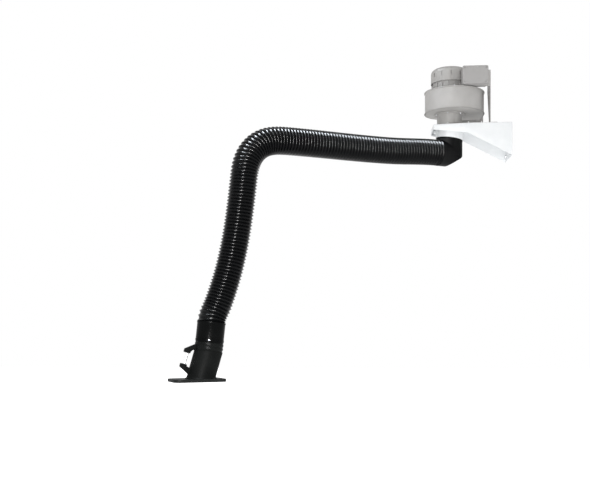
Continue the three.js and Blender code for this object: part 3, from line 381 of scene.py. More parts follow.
below_skirt = cuboid((-0.15, -0.15, -0.1), (0.15, 0.15, 0))
put(below_skirt, Matrix.Translation(swivel_axis + Vector((0, 0, SKIRT_BOTTOM)))
    @ Matrix.Rotation(SKIRT_SLANT, 4, "Y"))
cut(skirt, below_skirt)
round_edges(skirt, 0.0006, 2, 50)
keep(skirt, "bearing_skirt", white_powder, "white_powder", "bracket")

# Inlet spigot: a short welded tube with a flange at each end, painted grey like the whole fan.
# Six bolts hold its lower flange to the bracket, and six more its upper flange to the casing.
FLANGE_SHEET = 0.006
SPIGOT_RADIUS = 0.083
WELD_RADIUS = 0.085
WELD_HEIGHT = 0.003
BOLT_CIRCLE = 0.0935
BOLT_COUNT = 6
FIRST_BOLT = 0.3


def around(height):
    """Places on the bolt circle of the spigot's flanges at a height."""
    places = []
    for step in range(BOLT_COUNT):
        angle = 2 * math.pi * step / BOLT_COUNT + FIRST_BOLT
        out = Vector((BOLT_CIRCLE * math.cos(angle), BOLT_CIRCLE * math.sin(angle), height))
        places.append(Matrix.Translation(swivel_axis + out))
    return places


grey_paint = coating(
    "grey_paint", (0.385, 0.376, 0.364), (0.425, 0.416, 0.405), (0.42, 0.55), 600, 0.2,
    worn=(0.5, 0.49, 0.48), specular=0.06)
spigot_low, spigot_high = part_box("inlet_spigot")
flange_radius = (spigot_high.x - spigot_low.x) / 2
above_lower = spigot_low.z + FLANGE_SHEET
below_upper = spigot_high.z - FLANGE_SHEET
spigot = turned([
    (DUCT_RADIUS, spigot_low.z), (flange_radius, spigot_low.z),
    (flange_radius, above_lower), (WELD_RADIUS, above_lower),
    (SPIGOT_RADIUS, above_lower + WELD_HEIGHT), (SPIGOT_RADIUS, below_upper - WELD_HEIGHT),
    (WELD_RADIUS, below_upper), (flange_radius, below_upper),
    (flange_radius, spigot_high.z), (DUCT_RADIUS, spigot_high.z)])
round_edges(spigot, 0.001)
put(spigot, on_axis)
keep(spigot, "inlet_tube", grey_paint, "grey_paint", "bracket", "inlet_spigot")
upside_down = Matrix.Rotation(math.pi, 4, "X")
upper_bolts = [place @ upside_down for place in around(below_upper)]
spigot_bolts = repeat(bolt(0.0055), around(above_lower) + upper_bolts)
keep(spigot_bolts, "spigot_bolts", zinc_steel, "zinc_steel", "bracket")

# Scroll casing: a sheet rolled to a spiral round the impeller, seamed to its bottom plate.
# Painted grey; the spiral runs out into a square outlet behind.
SCROLL_RIGHT = 0.232
SCROLL_LEFT = 0.165
TONGUE = math.radians(60)
OUTLET_LEFT = 0.072
OUTLET_STRAIGHT = 0.024
SEAM_LIP = 0.005
SCROLL_STEPS = 84
PLATE_SETBACK = 0.006
BOTTOM_SHEET = 0.0025
scroll_low, scroll_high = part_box("fan_scroll")


def scroll_outline(grow, outlet_end):
    growth = math.log(SCROLL_RIGHT / SCROLL_LEFT) / math.pi
    points = []
    for step in range(SCROLL_STEPS + 1):
        angle = TONGUE + (2 * math.pi - TONGUE) * step / SCROLL_STEPS
        radius = SCROLL_RIGHT * math.exp(growth * (angle - 2 * math.pi)) + grow
        points.append((swivel_axis.x + radius * math.cos(angle), radius * math.sin(angle)))
    points.append((swivel_axis.x + SCROLL_RIGHT + grow, outlet_end))
    points.append((swivel_axis.x + OUTLET_LEFT - grow, outlet_end))
    points.append((swivel_axis.x + OUTLET_LEFT - grow, scroll_high.y - OUTLET_STRAIGHT))
    return points


def scroll_plate(grow, outlet_end, bottom, top):
    """A flat plate in the outline of the scroll, raised from bottom to top."""
    plate = draw([(x, y, bottom) for x, y in scroll_outline(grow, outlet_end)])
    bpy.ops.mesh.edge_face_add()
    bpy.ops.mesh.extrude_region_move(TRANSFORM_OT_translate={"value": (0, 0, top - bottom)})
    close_edit()
    return plate


casing = scroll_plate(0, scroll_high.y, scroll_low.z, scroll_high.z)
edit(casing, "FACE", lambda place, way:
     abs(way.z) > 0.9 or (way.y > 0.99 and place.y > scroll_high.y - NEAR))
bpy.ops.mesh.delete(type="FACE")
bpy.ops.object.mode_set(mode="OBJECT")
apply(casing, "SOLIDIFY", thickness=SHEET, offset=-1)
plate_end = scroll_high.y - PLATE_SETBACK
bottom_plate = scroll_plate(SEAM_LIP, plate_end, scroll_low.z, scroll_low.z + BOTTOM_SHEET)
cut(bottom_plate, rod(DUCT_RADIUS, swivel_axis, swivel_axis + Vector((0, 0, 0.3)), ROUND))
round_edges(bottom_plate, 0.0007, 2, 50)
scroll = join(casing, bottom_plate)
keep(scroll, "scroll_casing", grey_paint, "grey_paint", "bracket", "fan_scroll")

# Casing cover: the top plate of the scroll, seamed over its rim, with a raised seat for the motor.
# Pressed from painted sheet.
COVER_SHEET = 0.006
SHAFT_HOLE_RADIUS = 0.02
MOTOR_RADIUS = 0.114
COVER_SCREW_COUNT = 10
COVER_SCREW_INSET = 0.010
COVER_SCREW_STRIDE, COVER_SCREW_START = 8, 4
cover_low, cover_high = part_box("fan_cover")
cover_top = cover_low.z + COVER_SHEET
cover_plate = scroll_plate(SEAM_LIP, plate_end, cover_low.z, cover_top)
round_edges(cover_plate, 0.0018, 3, 50)
seat = turned([
    (SHAFT_HOLE_RADIUS, cover_low.z + 0.001), (MOTOR_RADIUS + 0.012, cover_low.z + 0.001),
    (MOTOR_RADIUS + 0.011, cover_top), (MOTOR_RADIUS + 0.001, cover_high.z - 0.001),
    (MOTOR_RADIUS - 0.001, cover_high.z), (SHAFT_HOLE_RADIUS, cover_high.z)])
put(seat, on_axis)
round_edges(seat, 0.0015)
cover = join(cover_plate, seat)
keep(cover, "casing_cover", grey_paint, "grey_paint", "bracket", "fan_cover")
screw_line = scroll_outline(-COVER_SCREW_INSET, scroll_high.y)
cover_screw_places = []
for step in range(COVER_SCREW_COUNT):
    x, y = screw_line[COVER_SCREW_STRIDE * step + COVER_SCREW_START]
    cover_screw_places.append(Matrix.Translation((x, y, cover_top)))
cover_screws = repeat(bolt(0.0042), cover_screw_places)
keep(cover_screws, "cover_screws", zinc_steel, "zinc_steel", "bracket")

# Outlet flange: a square angle frame welded round the outlet, drilled for the next duct.
# It stands upright behind the fan.
RIM = 0.0203
TOP_RIM = 0.0134
HOLE_EDGE = 0.01
TOP_HOLE_EDGE = 0.0068
OUTLET_HOLE_RADIUS = 0.0036
outlet_low, outlet_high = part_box("outlet_flange")
outlet = cuboid(outlet_low, outlet_high)
before_outlet, past_outlet = outlet_low.y - 0.01, outlet_high.y + 0.01
cut(outlet, cuboid((outlet_low.x + RIM, before_outlet, outlet_low.z + RIM),
                   (outlet_high.x - RIM, past_outlet, outlet_high.z - TOP_RIM)))
middle_x, middle_z = (outlet_low.x + outlet_high.x) / 2, (outlet_low.z + outlet_high.z) / 2
outlet_holes = []
for x in (outlet_low.x + HOLE_EDGE, middle_x, outlet_high.x - HOLE_EDGE):
    for z in (outlet_low.z + HOLE_EDGE, middle_z, outlet_high.z - TOP_HOLE_EDGE):
        if x != middle_x or z != middle_z:
            outlet_holes.append(
                rod(OUTLET_HOLE_RADIUS, (x, before_outlet, z), (x, past_outlet, z), 20))
cut(outlet, join(*outlet_holes))
round_edges(outlet, 0.0008, 2)
keep(outlet, "outlet_frame", grey_paint, "grey_paint", "bracket", "outlet_flange")

# Motor body: a ribbed cast housing that stands on the casing cover.
# Cast aluminium, painted with the fan.
RIB_COUNT = 18
RIB_DEPTH = 0.007
RIB_ROOT = 0.004
RIB_HALF_WIDTH = 0.0025
RIB_ABOVE_FOOT = 0.006
RIB_BELOW_TOP = 0.020


def turns(count, first=0.0):
    """Turns about the swivel axis, spread evenly."""
    return [on_axis @ Matrix.Rotation(2 * math.pi * step / count + first, 4, "Z")
            for step in range(count)]


motor_low, motor_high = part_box("motor_body")
barrel = turned([(0, motor_low.z), (MOTOR_RADIUS, motor_low.z),
                 (MOTOR_RADIUS, motor_high.z), (0, motor_high.z)], closed=False)
round_edges(barrel, 0.002)
put(barrel, on_axis)
rib = cuboid((-RIB_ROOT, -RIB_HALF_WIDTH, motor_low.z + RIB_ABOVE_FOOT),
             (RIB_DEPTH, RIB_HALF_WIDTH, motor_high.z - RIB_BELOW_TOP))
round_edges(rib, 0.0014)
ribs = repeat(rib, [turn @ Matrix.Translation((MOTOR_RADIUS, 0, 0)) for turn in turns(RIB_COUNT)])
motor = join(barrel, ribs)
keep(motor, "motor_housing", grey_paint, "grey_paint", "bracket", "motor_body")

# Motor cowl: a domed cap pressed from sheet that sleeves over the ribs, slotted for cooling air.
# A thin guard ring stands behind the slots; three screws hold the skirt, painted over with it.
COWL_DOME = 0.030
COWL_SKIRT = 0.06
DOME_STEPS = 8
SLOT_COUNT = 12
SLOT_HALF_WIDTH = 0.004
SLOT_LOW, SLOT_HIGH = 0.031, 0.005
GUARD_GAP = 0.003
GUARD_SHEET = 0.0012
GUARD_HEIGHT = 0.036
COWL_SCREW_RISE = 0.009
cowl_low, cowl_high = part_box("motor_cowl")
cowl_radius = (cowl_high.x - cowl_low.x) / 2
dome_foot = cowl_high.z - COWL_DOME
dome = []
for step in range(DOME_STEPS + 1):
    angle = math.pi / 2 * step / DOME_STEPS
    dome.append((cowl_radius - COWL_DOME + COWL_DOME * math.cos(angle),
                 dome_foot + COWL_DOME * math.sin(angle)))
cowl = turned([(cowl_radius, cowl_low.z), (cowl_radius, cowl_low.z + COWL_SKIRT)]
              + dome + [(0, cowl_high.z)], closed=False)
put(cowl, on_axis)
apply(cowl, "SOLIDIFY", thickness=SHEET, offset=-1)
slot_cutters = []
for turn in turns(SLOT_COUNT):
    slot = cuboid((cowl_radius - 0.012, -SLOT_HALF_WIDTH, dome_foot - SLOT_LOW),
                  (cowl_radius + 0.012, SLOT_HALF_WIDTH, dome_foot - SLOT_HIGH))
    slot_cutters.append(put(slot, turn))
cut(cowl, join(*slot_cutters))
round_edges(cowl, 0.0006, 2, 50)
guard_radius = cowl_radius - SHEET - GUARD_GAP
guard_bore = guard_radius - GUARD_SHEET
guard_rim = cowl_radius - SHEET + FIT
guard_top = dome_foot - 0.001
guard = turned([
    (guard_bore, guard_top - GUARD_HEIGHT), (guard_radius, guard_top - GUARD_HEIGHT),
    (guard_radius, guard_top - GUARD_SHEET), (guard_rim, guard_top - GUARD_SHEET),
    (guard_rim, guard_top), (guard_bore, guard_top)])
put(guard, on_axis)
cowl = join(cowl, guard)
keep(cowl, "cowl_cap", grey_paint, "grey_paint", "bracket", "motor_cowl")
sideways = Matrix.Rotation(math.radians(90), 4, "Y")
screw_spot = Matrix.Translation((cowl_radius - 0.0002, 0, cowl_low.z + COWL_SCREW_RISE))
cowl_screws = repeat(bolt(0.0038), [turn @ screw_spot @ sideways for turn in turns(3, first=0.5)])
keep(cowl_screws, "cowl_screws", grey_paint, "grey_paint", "bracket")

# Control box: a moulded plastic case with a lid, held together by four plastic corner screws.
# It hangs on an upright sheet beside the motor.
BOX_CORNER = 0.008
LID_SCREW_EDGE = 0.013
WELL_RADIUS = 0.0055
WELL_DEPTH = 0.003
grey_plastic = coating(
    "grey_plastic", (0.35, 0.342, 0.336), (0.372, 0.364, 0.358), (0.5, 0.6), 1500, 0.25,
    specular=0.06)


def moulded_box(low, high, corner, edge):
    """A box with corners rounded in the upright plane and softer edges front and back."""
    case = cuboid(low, high)
    edit(case, "EDGE", lambda a, b: abs(a.y - b.y) > NEAR)
    bpy.ops.mesh.bevel(offset=corner, segments=6, affect="EDGES")
    bpy.ops.object.mode_set(mode="OBJECT")
    round_edges(case, edge, 3, 40)
    return case


box_low, box_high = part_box("control_box")
box_case = moulded_box(box_low, box_high, BOX_CORNER, 0.0015)
keep(box_case, "box_case", grey_plastic, "grey_plastic", "bracket", "control_box")
lid_low, lid_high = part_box("control_box_lid")
lid = moulded_box(lid_low, lid_high, BOX_CORNER, 0.002)
well_bottom = lid_low.y + WELL_DEPTH
lid_screw_spots = [(x, z) for x in (lid_low.x + LID_SCREW_EDGE, lid_high.x - LID_SCREW_EDGE)
                   for z in (lid_low.z + LID_SCREW_EDGE, lid_high.z - LID_SCREW_EDGE)]
cut(lid, join(*[rod(WELL_RADIUS, (x, lid_low.y - 0.01, z), (x, well_bottom, z), 32)
                for x, z in lid_screw_spots]))
keep(lid, "box_lid", grey_plastic, "grey_plastic", "bracket", "control_box_lid")
lid_screw = rod(0.0042, (0, 0, -0.001), (0, 0, 0.002), 32)
cut(lid_screw, cuboid((-0.006, -0.0006, 0.001), (0.006, 0.0006, 0.004)))
round_edges(lid_screw, 0.0003, 2)
forward = Matrix.Rotation(math.radians(90), 4, "X")
lid_screws = repeat(
    lid_screw, [Matrix.Translation((x, well_bottom, z)) @ forward for x, z in lid_screw_spots])
keep(lid_screws, "lid_screws", grey_plastic, "grey_plastic", "bracket")

# Swivel elbow: a black sheet elbow under the bracket, two round ducts mitred and welded together.
# A flat plate closes its outer corner; the neck turns in the bearing, and the hose sits on its end.
ELBOW_RADIUS = 0.087
ELBOW_FACE = 0.0918
CHAMFER_HIGH = 0.076
CHAMFER_LONG = 0.112
NECK_ABOVE_BEARING = 0.012
NECK_STOCK = 0.4
LEG_STOCK = 0.3
# The elbow's black is a darker copy of the black plastic: painted shade that keeps the elbow darker than the hood.
black_paint_painted_shade = coating(
    "black_paint_painted_shade", (0.0035, 0.0037, 0.004), (0.0052, 0.0055, 0.0058), (0.4, 0.55), 700, 0.2,
    worn=(0.02, 0.02, 0.02), specular=0.025)
black_plastic = coating(
    "black_plastic", (0.0075, 0.008, 0.0078), (0.011, 0.012, 0.0116), (0.38, 0.52), 1300, 0.3,
    worn=(0.03, 0.03, 0.03), specular=0.01)
shoulder = joints["shoulder_lift"]
arm_height = shoulder.z
swing_angle = math.atan2(swivel_axis.y - shoulder.y, swivel_axis.x - shoulder.x)
swing = on_axis @ Matrix.Rotation(swing_angle, 4, "Z") @ Matrix.Translation(-swivel_axis)
mitre = swivel_axis + Vector((0, 0, arm_height))


def open_tube(radius, length, centre, turn):
    bpy.ops.mesh.primitive_cylinder_add(
        vertices=ROUND, radius=radius, depth=length, end_fill_type="NOTHING",
        location=centre, rotation=turn)
    settle(bpy.context.object)
    return bpy.context.object


def trim(piece, spot, way, fill=False):
    """Keep the side of a plane that the way points to."""
    edit(piece, "VERT", lambda place: True)
    bpy.ops.mesh.bisect(plane_co=spot, plane_no=way, clear_inner=True, use_fill=fill)
    bpy.ops.object.mode_set(mode="OBJECT")


neck_middle = Vector((0, 0, bearing_low.z + NECK_ABOVE_BEARING - arm_height - NECK_STOCK / 2))
neck = open_tube(ELBOW_RADIUS, NECK_STOCK, mitre + neck_middle, (0, 0, 0))
trim(neck, mitre, (1, 0, 1))
leg_middle = Vector((LEG_STOCK / 2 - ELBOW_FACE, 0, 0))
outlet_leg = open_tube(ELBOW_RADIUS, LEG_STOCK, mitre + leg_middle, (0, math.pi / 2, 0))
trim(outlet_leg, mitre, (-1, 0, -1))
elbow = join(neck, outlet_leg)
edit(elbow, "VERT", lambda place: True)
bpy.ops.mesh.remove_doubles(threshold=0.00005)
close_edit()
chamfer_spot = mitre + Vector((ELBOW_RADIUS, 0, CHAMFER_HIGH - ELBOW_RADIUS))
trim(elbow, chamfer_spot, (-CHAMFER_HIGH, 0, CHAMFER_LONG), fill=True)
round_edges(elbow, 0.003, 3, 25)
apply(elbow, "SOLIDIFY", thickness=SHEET, offset=-1)
put(elbow, swing)
keep(elbow, "elbow_duct", black_paint_painted_shade, "black_plastic", "swivel", "swivel_elbow")

# Hose: coated fabric over a wire helix, glossy black.
# The helix is screwed up from one ridge, cut to length and laid along the arm in three pieces.
HOSE_CREST = 0.0866
HOSE_ROOT = 0.0778
HOSE_PITCH = 0.0205
HOSE_WALL = 0.0015
RIDGE_STEPS = 8
RIDGE_SHARPNESS = 0.8
HELIX_SIDES = 56
SPARE_TURNS = 6
STEM_LEAN = 6.2
CUFF_REACH = 0.0842
BOW = 0.36
UPPER_CUT = 0.62
LOWER_CUT_FROM_END = 0.55


def hose_finish():
    """Glossy coated fabric, polished on the ridges and a little duller in the folds."""
    material = coating(
        "black_hose", (0.0035, 0.0037, 0.0041), (0.0052, 0.0055, 0.006), (0.2, 0.34), 700, 0.25,
        specular=0.07)
    tree = material.node_tree
    height = tree.nodes.new("ShaderNodeAttribute")
    height.attribute_name = "lift"
    gloss = remap(tree, height.outputs["Fac"], (0.0, 0.5), (0.2, 0.15))
    tree.links.new(gloss, tree.nodes["Principled BSDF"].inputs["Roughness"])
    return material


def lay_route(stops):
    """A curve through points with directions and girths, in the arm's plane before the swing."""
    bpy.ops.curve.primitive_bezier_curve_add()
    route = bpy.context.object
    route.data.twist_mode = "MINIMUM"
    route.data.resolution_u = 96
    spline = route.data.splines[0]
    spline.bezier_points.add(len(stops) - 2)
    for index, (spot, way, girth) in enumerate(stops):
        point = spline.bezier_points[index]
        point.radius = girth
        point.handle_left_type = "FREE"
        point.handle_right_type = "FREE"
        point.co = spot
        before = (spot - stops[index - 1][0]).length if index else 0.1
        after = (stops[index + 1][0] - spot).length if index < len(stops) - 1 else 0.1
        point.handle_left = spot - way * before * BOW
        point.handle_right = spot + way * after * BOW
    return route


def in_plane(out, height):
    return Vector((swivel_axis.x - out, 0, height))


def heading(down_degrees):
    """A direction in the arm's plane, turned down from level."""
    angle = math.radians(down_degrees)
    return Vector((-math.cos(angle), 0, -math.sin(angle)))


black_hose = hose_finish()
unswing = swing.inverted()
pivot_flat = unswing @ joints["hood_tilt"]
stem_way = heading(90 - STEM_LEAN)
cuff_mouth = pivot_flat + stem_way * CUFF_REACH
bend_in, bend_out = heading(0.4), heading(90 - 6.8)
route = lay_route([
    (in_plane(0.0921, arm_height), heading(0), 1),
    (in_plane(0.48, -0.0875), heading(1.2), 1),
    (in_plane(1.165, -0.0877), bend_in, 1),
    (in_plane(1.3995, -0.1448), (bend_in + bend_out).normalized(), 1),
    (in_plane(1.478, -0.3106), bend_out, 1),
    (in_plane(1.6475, -1.1128), heading(90 - 21.5), 1.03),
    (cuff_mouth, stem_way, 1.015)])
hose_length = route.data.splines[0].calc_length()
ridge = []
for step in range(RIDGE_STEPS + 1):
    part = step / RIDGE_STEPS
    rise = 1 - abs(math.sin(math.pi * part)) ** RIDGE_SHARPNESS
    ridge.append((HOSE_PITCH * (part - SPARE_TURNS / 2),
                  HOSE_ROOT + (HOSE_CREST - HOSE_ROOT) * rise, 0))
helix = draw(ridge)
bpy.ops.object.mode_set(mode="OBJECT")
apply(helix, "SCREW", axis="X", screw_offset=HOSE_PITCH,
      iterations=int(hose_length / HOSE_PITCH) + SPARE_TURNS,
      steps=HELIX_SIDES, render_steps=HELIX_SIDES,
      use_merge_vertices=True, merge_threshold=0.00001)
trim(helix, (0, 0, 0), (1, 0, 0))
trim(helix, (hose_length, 0, 0), (-1, 0, 0))
edit(helix, "VERT", lambda place: True)
bpy.ops.mesh.remove_doubles(threshold=0.00005)
close_edit()
lift = helix.data.attributes.new("lift", "FLOAT", "POINT")
for index, vertex in enumerate(helix.data.vertices):
    height = math.hypot(vertex.co.y, vertex.co.z) - HOSE_ROOT
    lift.data[index].value = height / (HOSE_CREST - HOSE_ROOT)


def hose_piece(name, start, end):
    """The part of the hose between two lengths, laid along the route and swung out with the arm."""
    piece = helix.copy()
    piece.data = helix.data.copy()
    bpy.context.collection.objects.link(piece)
    if start > 0:
        trim(piece, (start, 0, 0), (1, 0, 0))
    if end < hose_length:
        trim(piece, (end, 0, 0), (-1, 0, 0))
    apply(piece, "CURVE", object=route, deform_axis="POS_X")
    apply(piece, "SOLIDIFY", thickness=HOSE_WALL, offset=-1)
    put(piece, swing)
    piece.name = name
    piece.data.name = name
    piece.data.materials.append(black_hose)
    activate(piece)
    bpy.ops.object.shade_smooth_by_angle(angle=math.radians(60))
    return piece


lower_cut = hose_length - LOWER_CUT_FROM_END
hose_shoulder = hose_piece("hose_shoulder", 0, UPPER_CUT)
hose_elbow = hose_piece("hose_elbow", UPPER_CUT, lower_cut)
hose_hood = hose_piece("hose_hood", lower_cut, hose_length)
bpy.data.objects.remove(helix)
bpy.data.objects.remove(route)
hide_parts("hose_shoulder_bend", "hose_upper")
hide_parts("hose_elbow_bend")
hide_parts("hose_lower", "hose_hood_bend")
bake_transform(hose_shoulder)
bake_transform(hose_elbow)
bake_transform(hose_hood)

# Cuff: a smooth moulded rubber sleeve that takes the end of the hose, with a thicker upper lip.
# A worm-drive clamp pulls it onto the spider of the hood's stem.
CUFF_RADIUS = 0.085
CUFF_BORE = 0.080
CUFF_LIP = 0.0018
CUFF_TOP, CUFF_BOTTOM = -CUFF_REACH, -0.2074
black_rubber = coating(
    "black_rubber", (0.0035, 0.0037, 0.0038), (0.005, 0.0053, 0.0054), (0.2, 0.28), 1000, 0.2,
    specular=0.018)
stem_flat = Matrix.Translation(pivot_flat) @ Matrix.Rotation(math.radians(STEM_LEAN), 4, "Y")
stem_place = swing @ stem_flat
cuff = turned([
    (CUFF_BORE, CUFF_BOTTOM), (CUFF_RADIUS, CUFF_BOTTOM), (CUFF_RADIUS, CUFF_TOP - 0.012),
    (CUFF_RADIUS + CUFF_LIP, CUFF_TOP - 0.009), (CUFF_RADIUS + CUFF_LIP, CUFF_TOP),
    (CUFF_BORE, CUFF_TOP)])
round_edges(cuff, 0.0012)
put(cuff, stem_place)
keep(cuff, "rubber_cuff", black_rubber, "black_rubber", "hood_mount", "hose_cuff")

# Cuff clamp: a steel band with a worm screw in a pressed housing, on the side the operator sees.
# The band takes the cuff's dark rubber finish; the zinc plated screw with its slotted head is bright.
CLAMP_LOW, CLAMP_HIGH = -0.2014, -0.1884
BAND_BORE, BAND_RADIUS = 0.0853, 0.0862
SCREW_AXIS = -0.091
band = turned([(BAND_BORE, CLAMP_LOW), (BAND_RADIUS, CLAMP_LOW),
               (BAND_RADIUS, CLAMP_HIGH), (BAND_BORE, CLAMP_HIGH)])
housing = cuboid((-0.010, -0.0945, CLAMP_LOW - 0.0005), (0.012, -0.0858, CLAMP_HIGH + 0.0005))
round_edges(housing, 0.0025)
clamp_place = stem_place @ Matrix.Rotation(math.radians(-12), 4, "Z")
clamp = put(join(band, housing), clamp_place)
keep(clamp, "clamp_band", black_rubber, "zinc_steel", "hood_mount", "cuff_clamp")
screw_height = (CLAMP_LOW + CLAMP_HIGH) / 2
shank = rod(0.003, (-0.013, SCREW_AXIS, screw_height), (0.009, SCREW_AXIS, screw_height), 32)
head = rod(0.0038, (-0.0180, SCREW_AXIS, screw_height), (-0.0125, SCREW_AXIS, screw_height), 6)
round_edges(head, 0.0006, 2)
cut(head, cuboid((-0.025, -0.098, screw_height - 0.0006),
                 (-0.0168, -0.084, screw_height + 0.0006)))
worm = put(join(shank, head), clamp_place)
keep(worm, "clamp_screw", zinc_steel, "zinc_steel", "hood_mount")

# Hood collar: a moulded ring with two ribs, where the hood turns on its stem.
# Black plastic with a fine grain, a little polished on the ribs.
HOOD_RADIUS = 0.0815
COLLAR_BORE = 0.0755
COLLAR_RIB = 0.0045
COLLAR_TOP, COLLAR_BOTTOM = -0.208, -0.260
RIB_STOPS = ((0.85, 0.3), (0.75, 1), (0.6, 1), (0.5, 0.2), (0.35, 1), (0.15, 1), (0.0, 0.4))
polished_plastic = coating(
    "polished_plastic", (0.0075, 0.008, 0.0078), (0.011, 0.012, 0.0116), (0.26, 0.36), 1300, 0.2,
    worn=(0.03, 0.03, 0.03), specular=0.025)
collar_profile = [(COLLAR_BORE, COLLAR_BOTTOM), (HOOD_RADIUS, COLLAR_BOTTOM)]
for share, swell in RIB_STOPS:
    collar_profile.append((HOOD_RADIUS + COLLAR_RIB * swell,
                           COLLAR_TOP + (COLLAR_BOTTOM - COLLAR_TOP) * share))
collar_profile.append((COLLAR_BORE, COLLAR_TOP))
collar = turned(collar_profile)
round_edges(collar, 0.0012, 3, 25)
put(collar, stem_place)
keep(collar, "ribbed_collar", polished_plastic, "black_plastic", "hood", "hood_collar")

# Hood body: a round moulded duct that leans outwards and opens in a level mouth with a small flare.
# Black plastic, open above and below.
HOOD_LENGTH = 0.170
HOOD_STOCK = 0.4
HOOD_WALL = 0.003
FLARE_HEIGHT = 0.016
FLARE_STEPS = ((0.0050, 1.006), (0.0045, 1.022), (0.0035, 1.035), (0.0030, 1.05))
hood_origin = stem_flat @ Vector((0, 0, COLLAR_BOTTOM - FIT))
lean = math.radians(16.5)
down_body = Vector((-math.sin(lean), 0, -math.cos(lean)))
mouth = hood_origin + down_body * HOOD_LENGTH
shell = open_tube(HOOD_RADIUS, HOOD_STOCK, hood_origin + down_body * 0.1, (0, lean, 0))
trim(shell, hood_origin, stem_way)
trim(shell, mouth + Vector((0, 0, FLARE_HEIGHT)), (0, 0, 1))
edit(shell, "VERT", lambda place: place.z < mouth.z + FLARE_HEIGHT + 0.0005)
for drop, growth in FLARE_STEPS:
    bpy.ops.mesh.extrude_region_move(
        TRANSFORM_OT_translate={"value": (-drop * math.tan(lean), 0, -drop)})
    bpy.ops.transform.resize(value=(growth, growth, 1))
close_edit()
apply(shell, "SOLIDIFY", thickness=HOOD_WALL, offset=-1)
round_edges(shell, 0.0008, 2, 50)
put(shell, swing)
keep(shell, "hood_body", black_plastic, "black_plastic", "hood", "hood_shell")

# Mouth flange: a level moulded plate with round corners and a rim turned down.
# The same black plastic made lighter grey all over, as painted light for the light on its top; it is longer on the
# handle's side.
FLANGE_LENGTH, FLANGE_WIDTH, FLANGE_HEIGHT = 0.324, 0.204, 0.018
FLANGE_SHIFT = 0.024
FLANGE_CORNER = 0.042
FLANGE_WALL = 0.004
MOUTH_HOLE_PLAY = 0.007
flange_centre = mouth + Vector((-FLANGE_SHIFT, 0, -FIT))
half = Vector((FLANGE_LENGTH / 2, FLANGE_WIDTH / 2, 0))
# A lighter copy of the black plastic: painted light for the flange's lit top, spread over the whole flange.
flange_plastic_painted_light = coating(
    "flange_plastic_painted_light", (0.013, 0.014, 0.0136), (0.02, 0.0213, 0.0208), (0.4, 0.55), 1300, 0.3,
    worn=(0.06, 0.06, 0.06), specular=0.03)
flange = cuboid(flange_centre - half - Vector((0, 0, FLANGE_HEIGHT)), flange_centre + half)
edit(flange, "EDGE", lambda a, b: abs(a.z - b.z) > NEAR)
bpy.ops.mesh.bevel(offset=FLANGE_CORNER, segments=14, affect="EDGES")
edit(flange, "FACE", lambda place, way: way.z < -0.9)
bpy.ops.mesh.inset(thickness=FLANGE_WALL)
bpy.ops.mesh.extrude_region_move(
    TRANSFORM_OT_translate={"value": (0, 0, FLANGE_HEIGHT - FLANGE_WALL)})
bpy.ops.object.mode_set(mode="OBJECT")
mouth_hole = rod(HOOD_RADIUS + MOUTH_HOLE_PLAY, (0, 0, -0.05), (0, 0, 0.05), ROUND)
put(mouth_hole, Matrix.Translation(mouth) @ Matrix.Diagonal((1 / math.cos(lean), 1, 1, 1)))
cut(flange, mouth_hole)
round_edges(flange, 0.0022, 3, 40)
put(flange, swing)
keep(flange, "mouth_flange", flange_plastic_painted_light, "black_plastic", "hood", "hood_flange")

# Handle: two moulded wedges that stand off the hood and end in sockets, with a grip between them.
# The wedges are black plastic with rounded edges; the grip is a polished tube.
WEDGE_WIDTH = 0.030
WEDGE_NEAR, WEDGE_FAR = 0.108, 0.146
WEDGE_ROOT, WEDGE_CROOK = 0.0715, 0.097
SOCKET_NEAR_DEPTH, SOCKET_FAR_DEPTH = 0.010, 0.021
GRIP_OUT = 0.124
GRIP_RADIUS = 0.008
GRIP_TOP, GRIP_BOTTOM = -0.031, -0.128
UPPER_SOCKET, LOWER_SOCKET = -0.045, -0.114
body_place = swing @ Matrix.Translation(hood_origin) @ Matrix.Rotation(lean, 4, "Y")


def handle_arm(side, socket, root_far, root_near):
    """A wedge drawn from the side, thickened, rounded, and cut to hood, collar and grip."""
    points = [(WEDGE_NEAR, socket), (WEDGE_FAR, socket),
              (WEDGE_FAR, socket + side * SOCKET_FAR_DEPTH),
              (HOOD_RADIUS, root_far), (WEDGE_ROOT, root_far), (WEDGE_ROOT, root_near),
              (WEDGE_CROOK, root_near), (WEDGE_NEAR, socket + side * SOCKET_NEAR_DEPTH)]
    wedge = draw([(-out, -WEDGE_WIDTH / 2, height) for out, height in points])
    bpy.ops.mesh.edge_face_add()
    bpy.ops.mesh.extrude_region_move(TRANSFORM_OT_translate={"value": (0, WEDGE_WIDTH, 0)})
    close_edit()
    round_edges(wedge, 0.0035, 4, 20)
    cut(wedge, rod(HOOD_RADIUS + FIT, (0, 0, -0.3), (0, 0, 0.3), ROUND))
    tilt = Matrix.Rotation(math.radians(STEM_LEAN) - lean, 4, "Y")
    cut(wedge, put(rod(HOOD_RADIUS + COLLAR_RIB + FIT, (0, 0, 0), (0, 0, 0.1), ROUND), tilt))
    cut(wedge, rod(GRIP_RADIUS + FIT, (-GRIP_OUT, 0, GRIP_BOTTOM - FIT),
                   (-GRIP_OUT, 0, GRIP_TOP + FIT)))
    return put(wedge, body_place)


upper_wedge = handle_arm(1, UPPER_SOCKET, 0.026, -0.019)
keep(upper_wedge, "handle_upper", black_plastic, "black_plastic", "hood", "handle_upper_arm",
     angle=45)
lower_wedge = handle_arm(-1, LOWER_SOCKET, -0.168, -0.126)
keep(lower_wedge, "handle_lower", black_plastic, "black_plastic", "hood", "handle_lower_arm",
     angle=45)
bright_metal = plated("bright_metal", (0.78, 0.79, 0.8), (0.14, 0.24))
grip = turned([(0, GRIP_BOTTOM), (GRIP_RADIUS, GRIP_BOTTOM), (GRIP_RADIUS, GRIP_TOP),
               (0, GRIP_TOP)], sides=64, closed=False)
round_edges(grip, 0.0008, 2)
put(grip, body_place @ Matrix.Translation((-GRIP_OUT, 0, 0)))
keep(grip, "grip_tube", bright_metal, "bright_metal", "hood", "handle_grip")

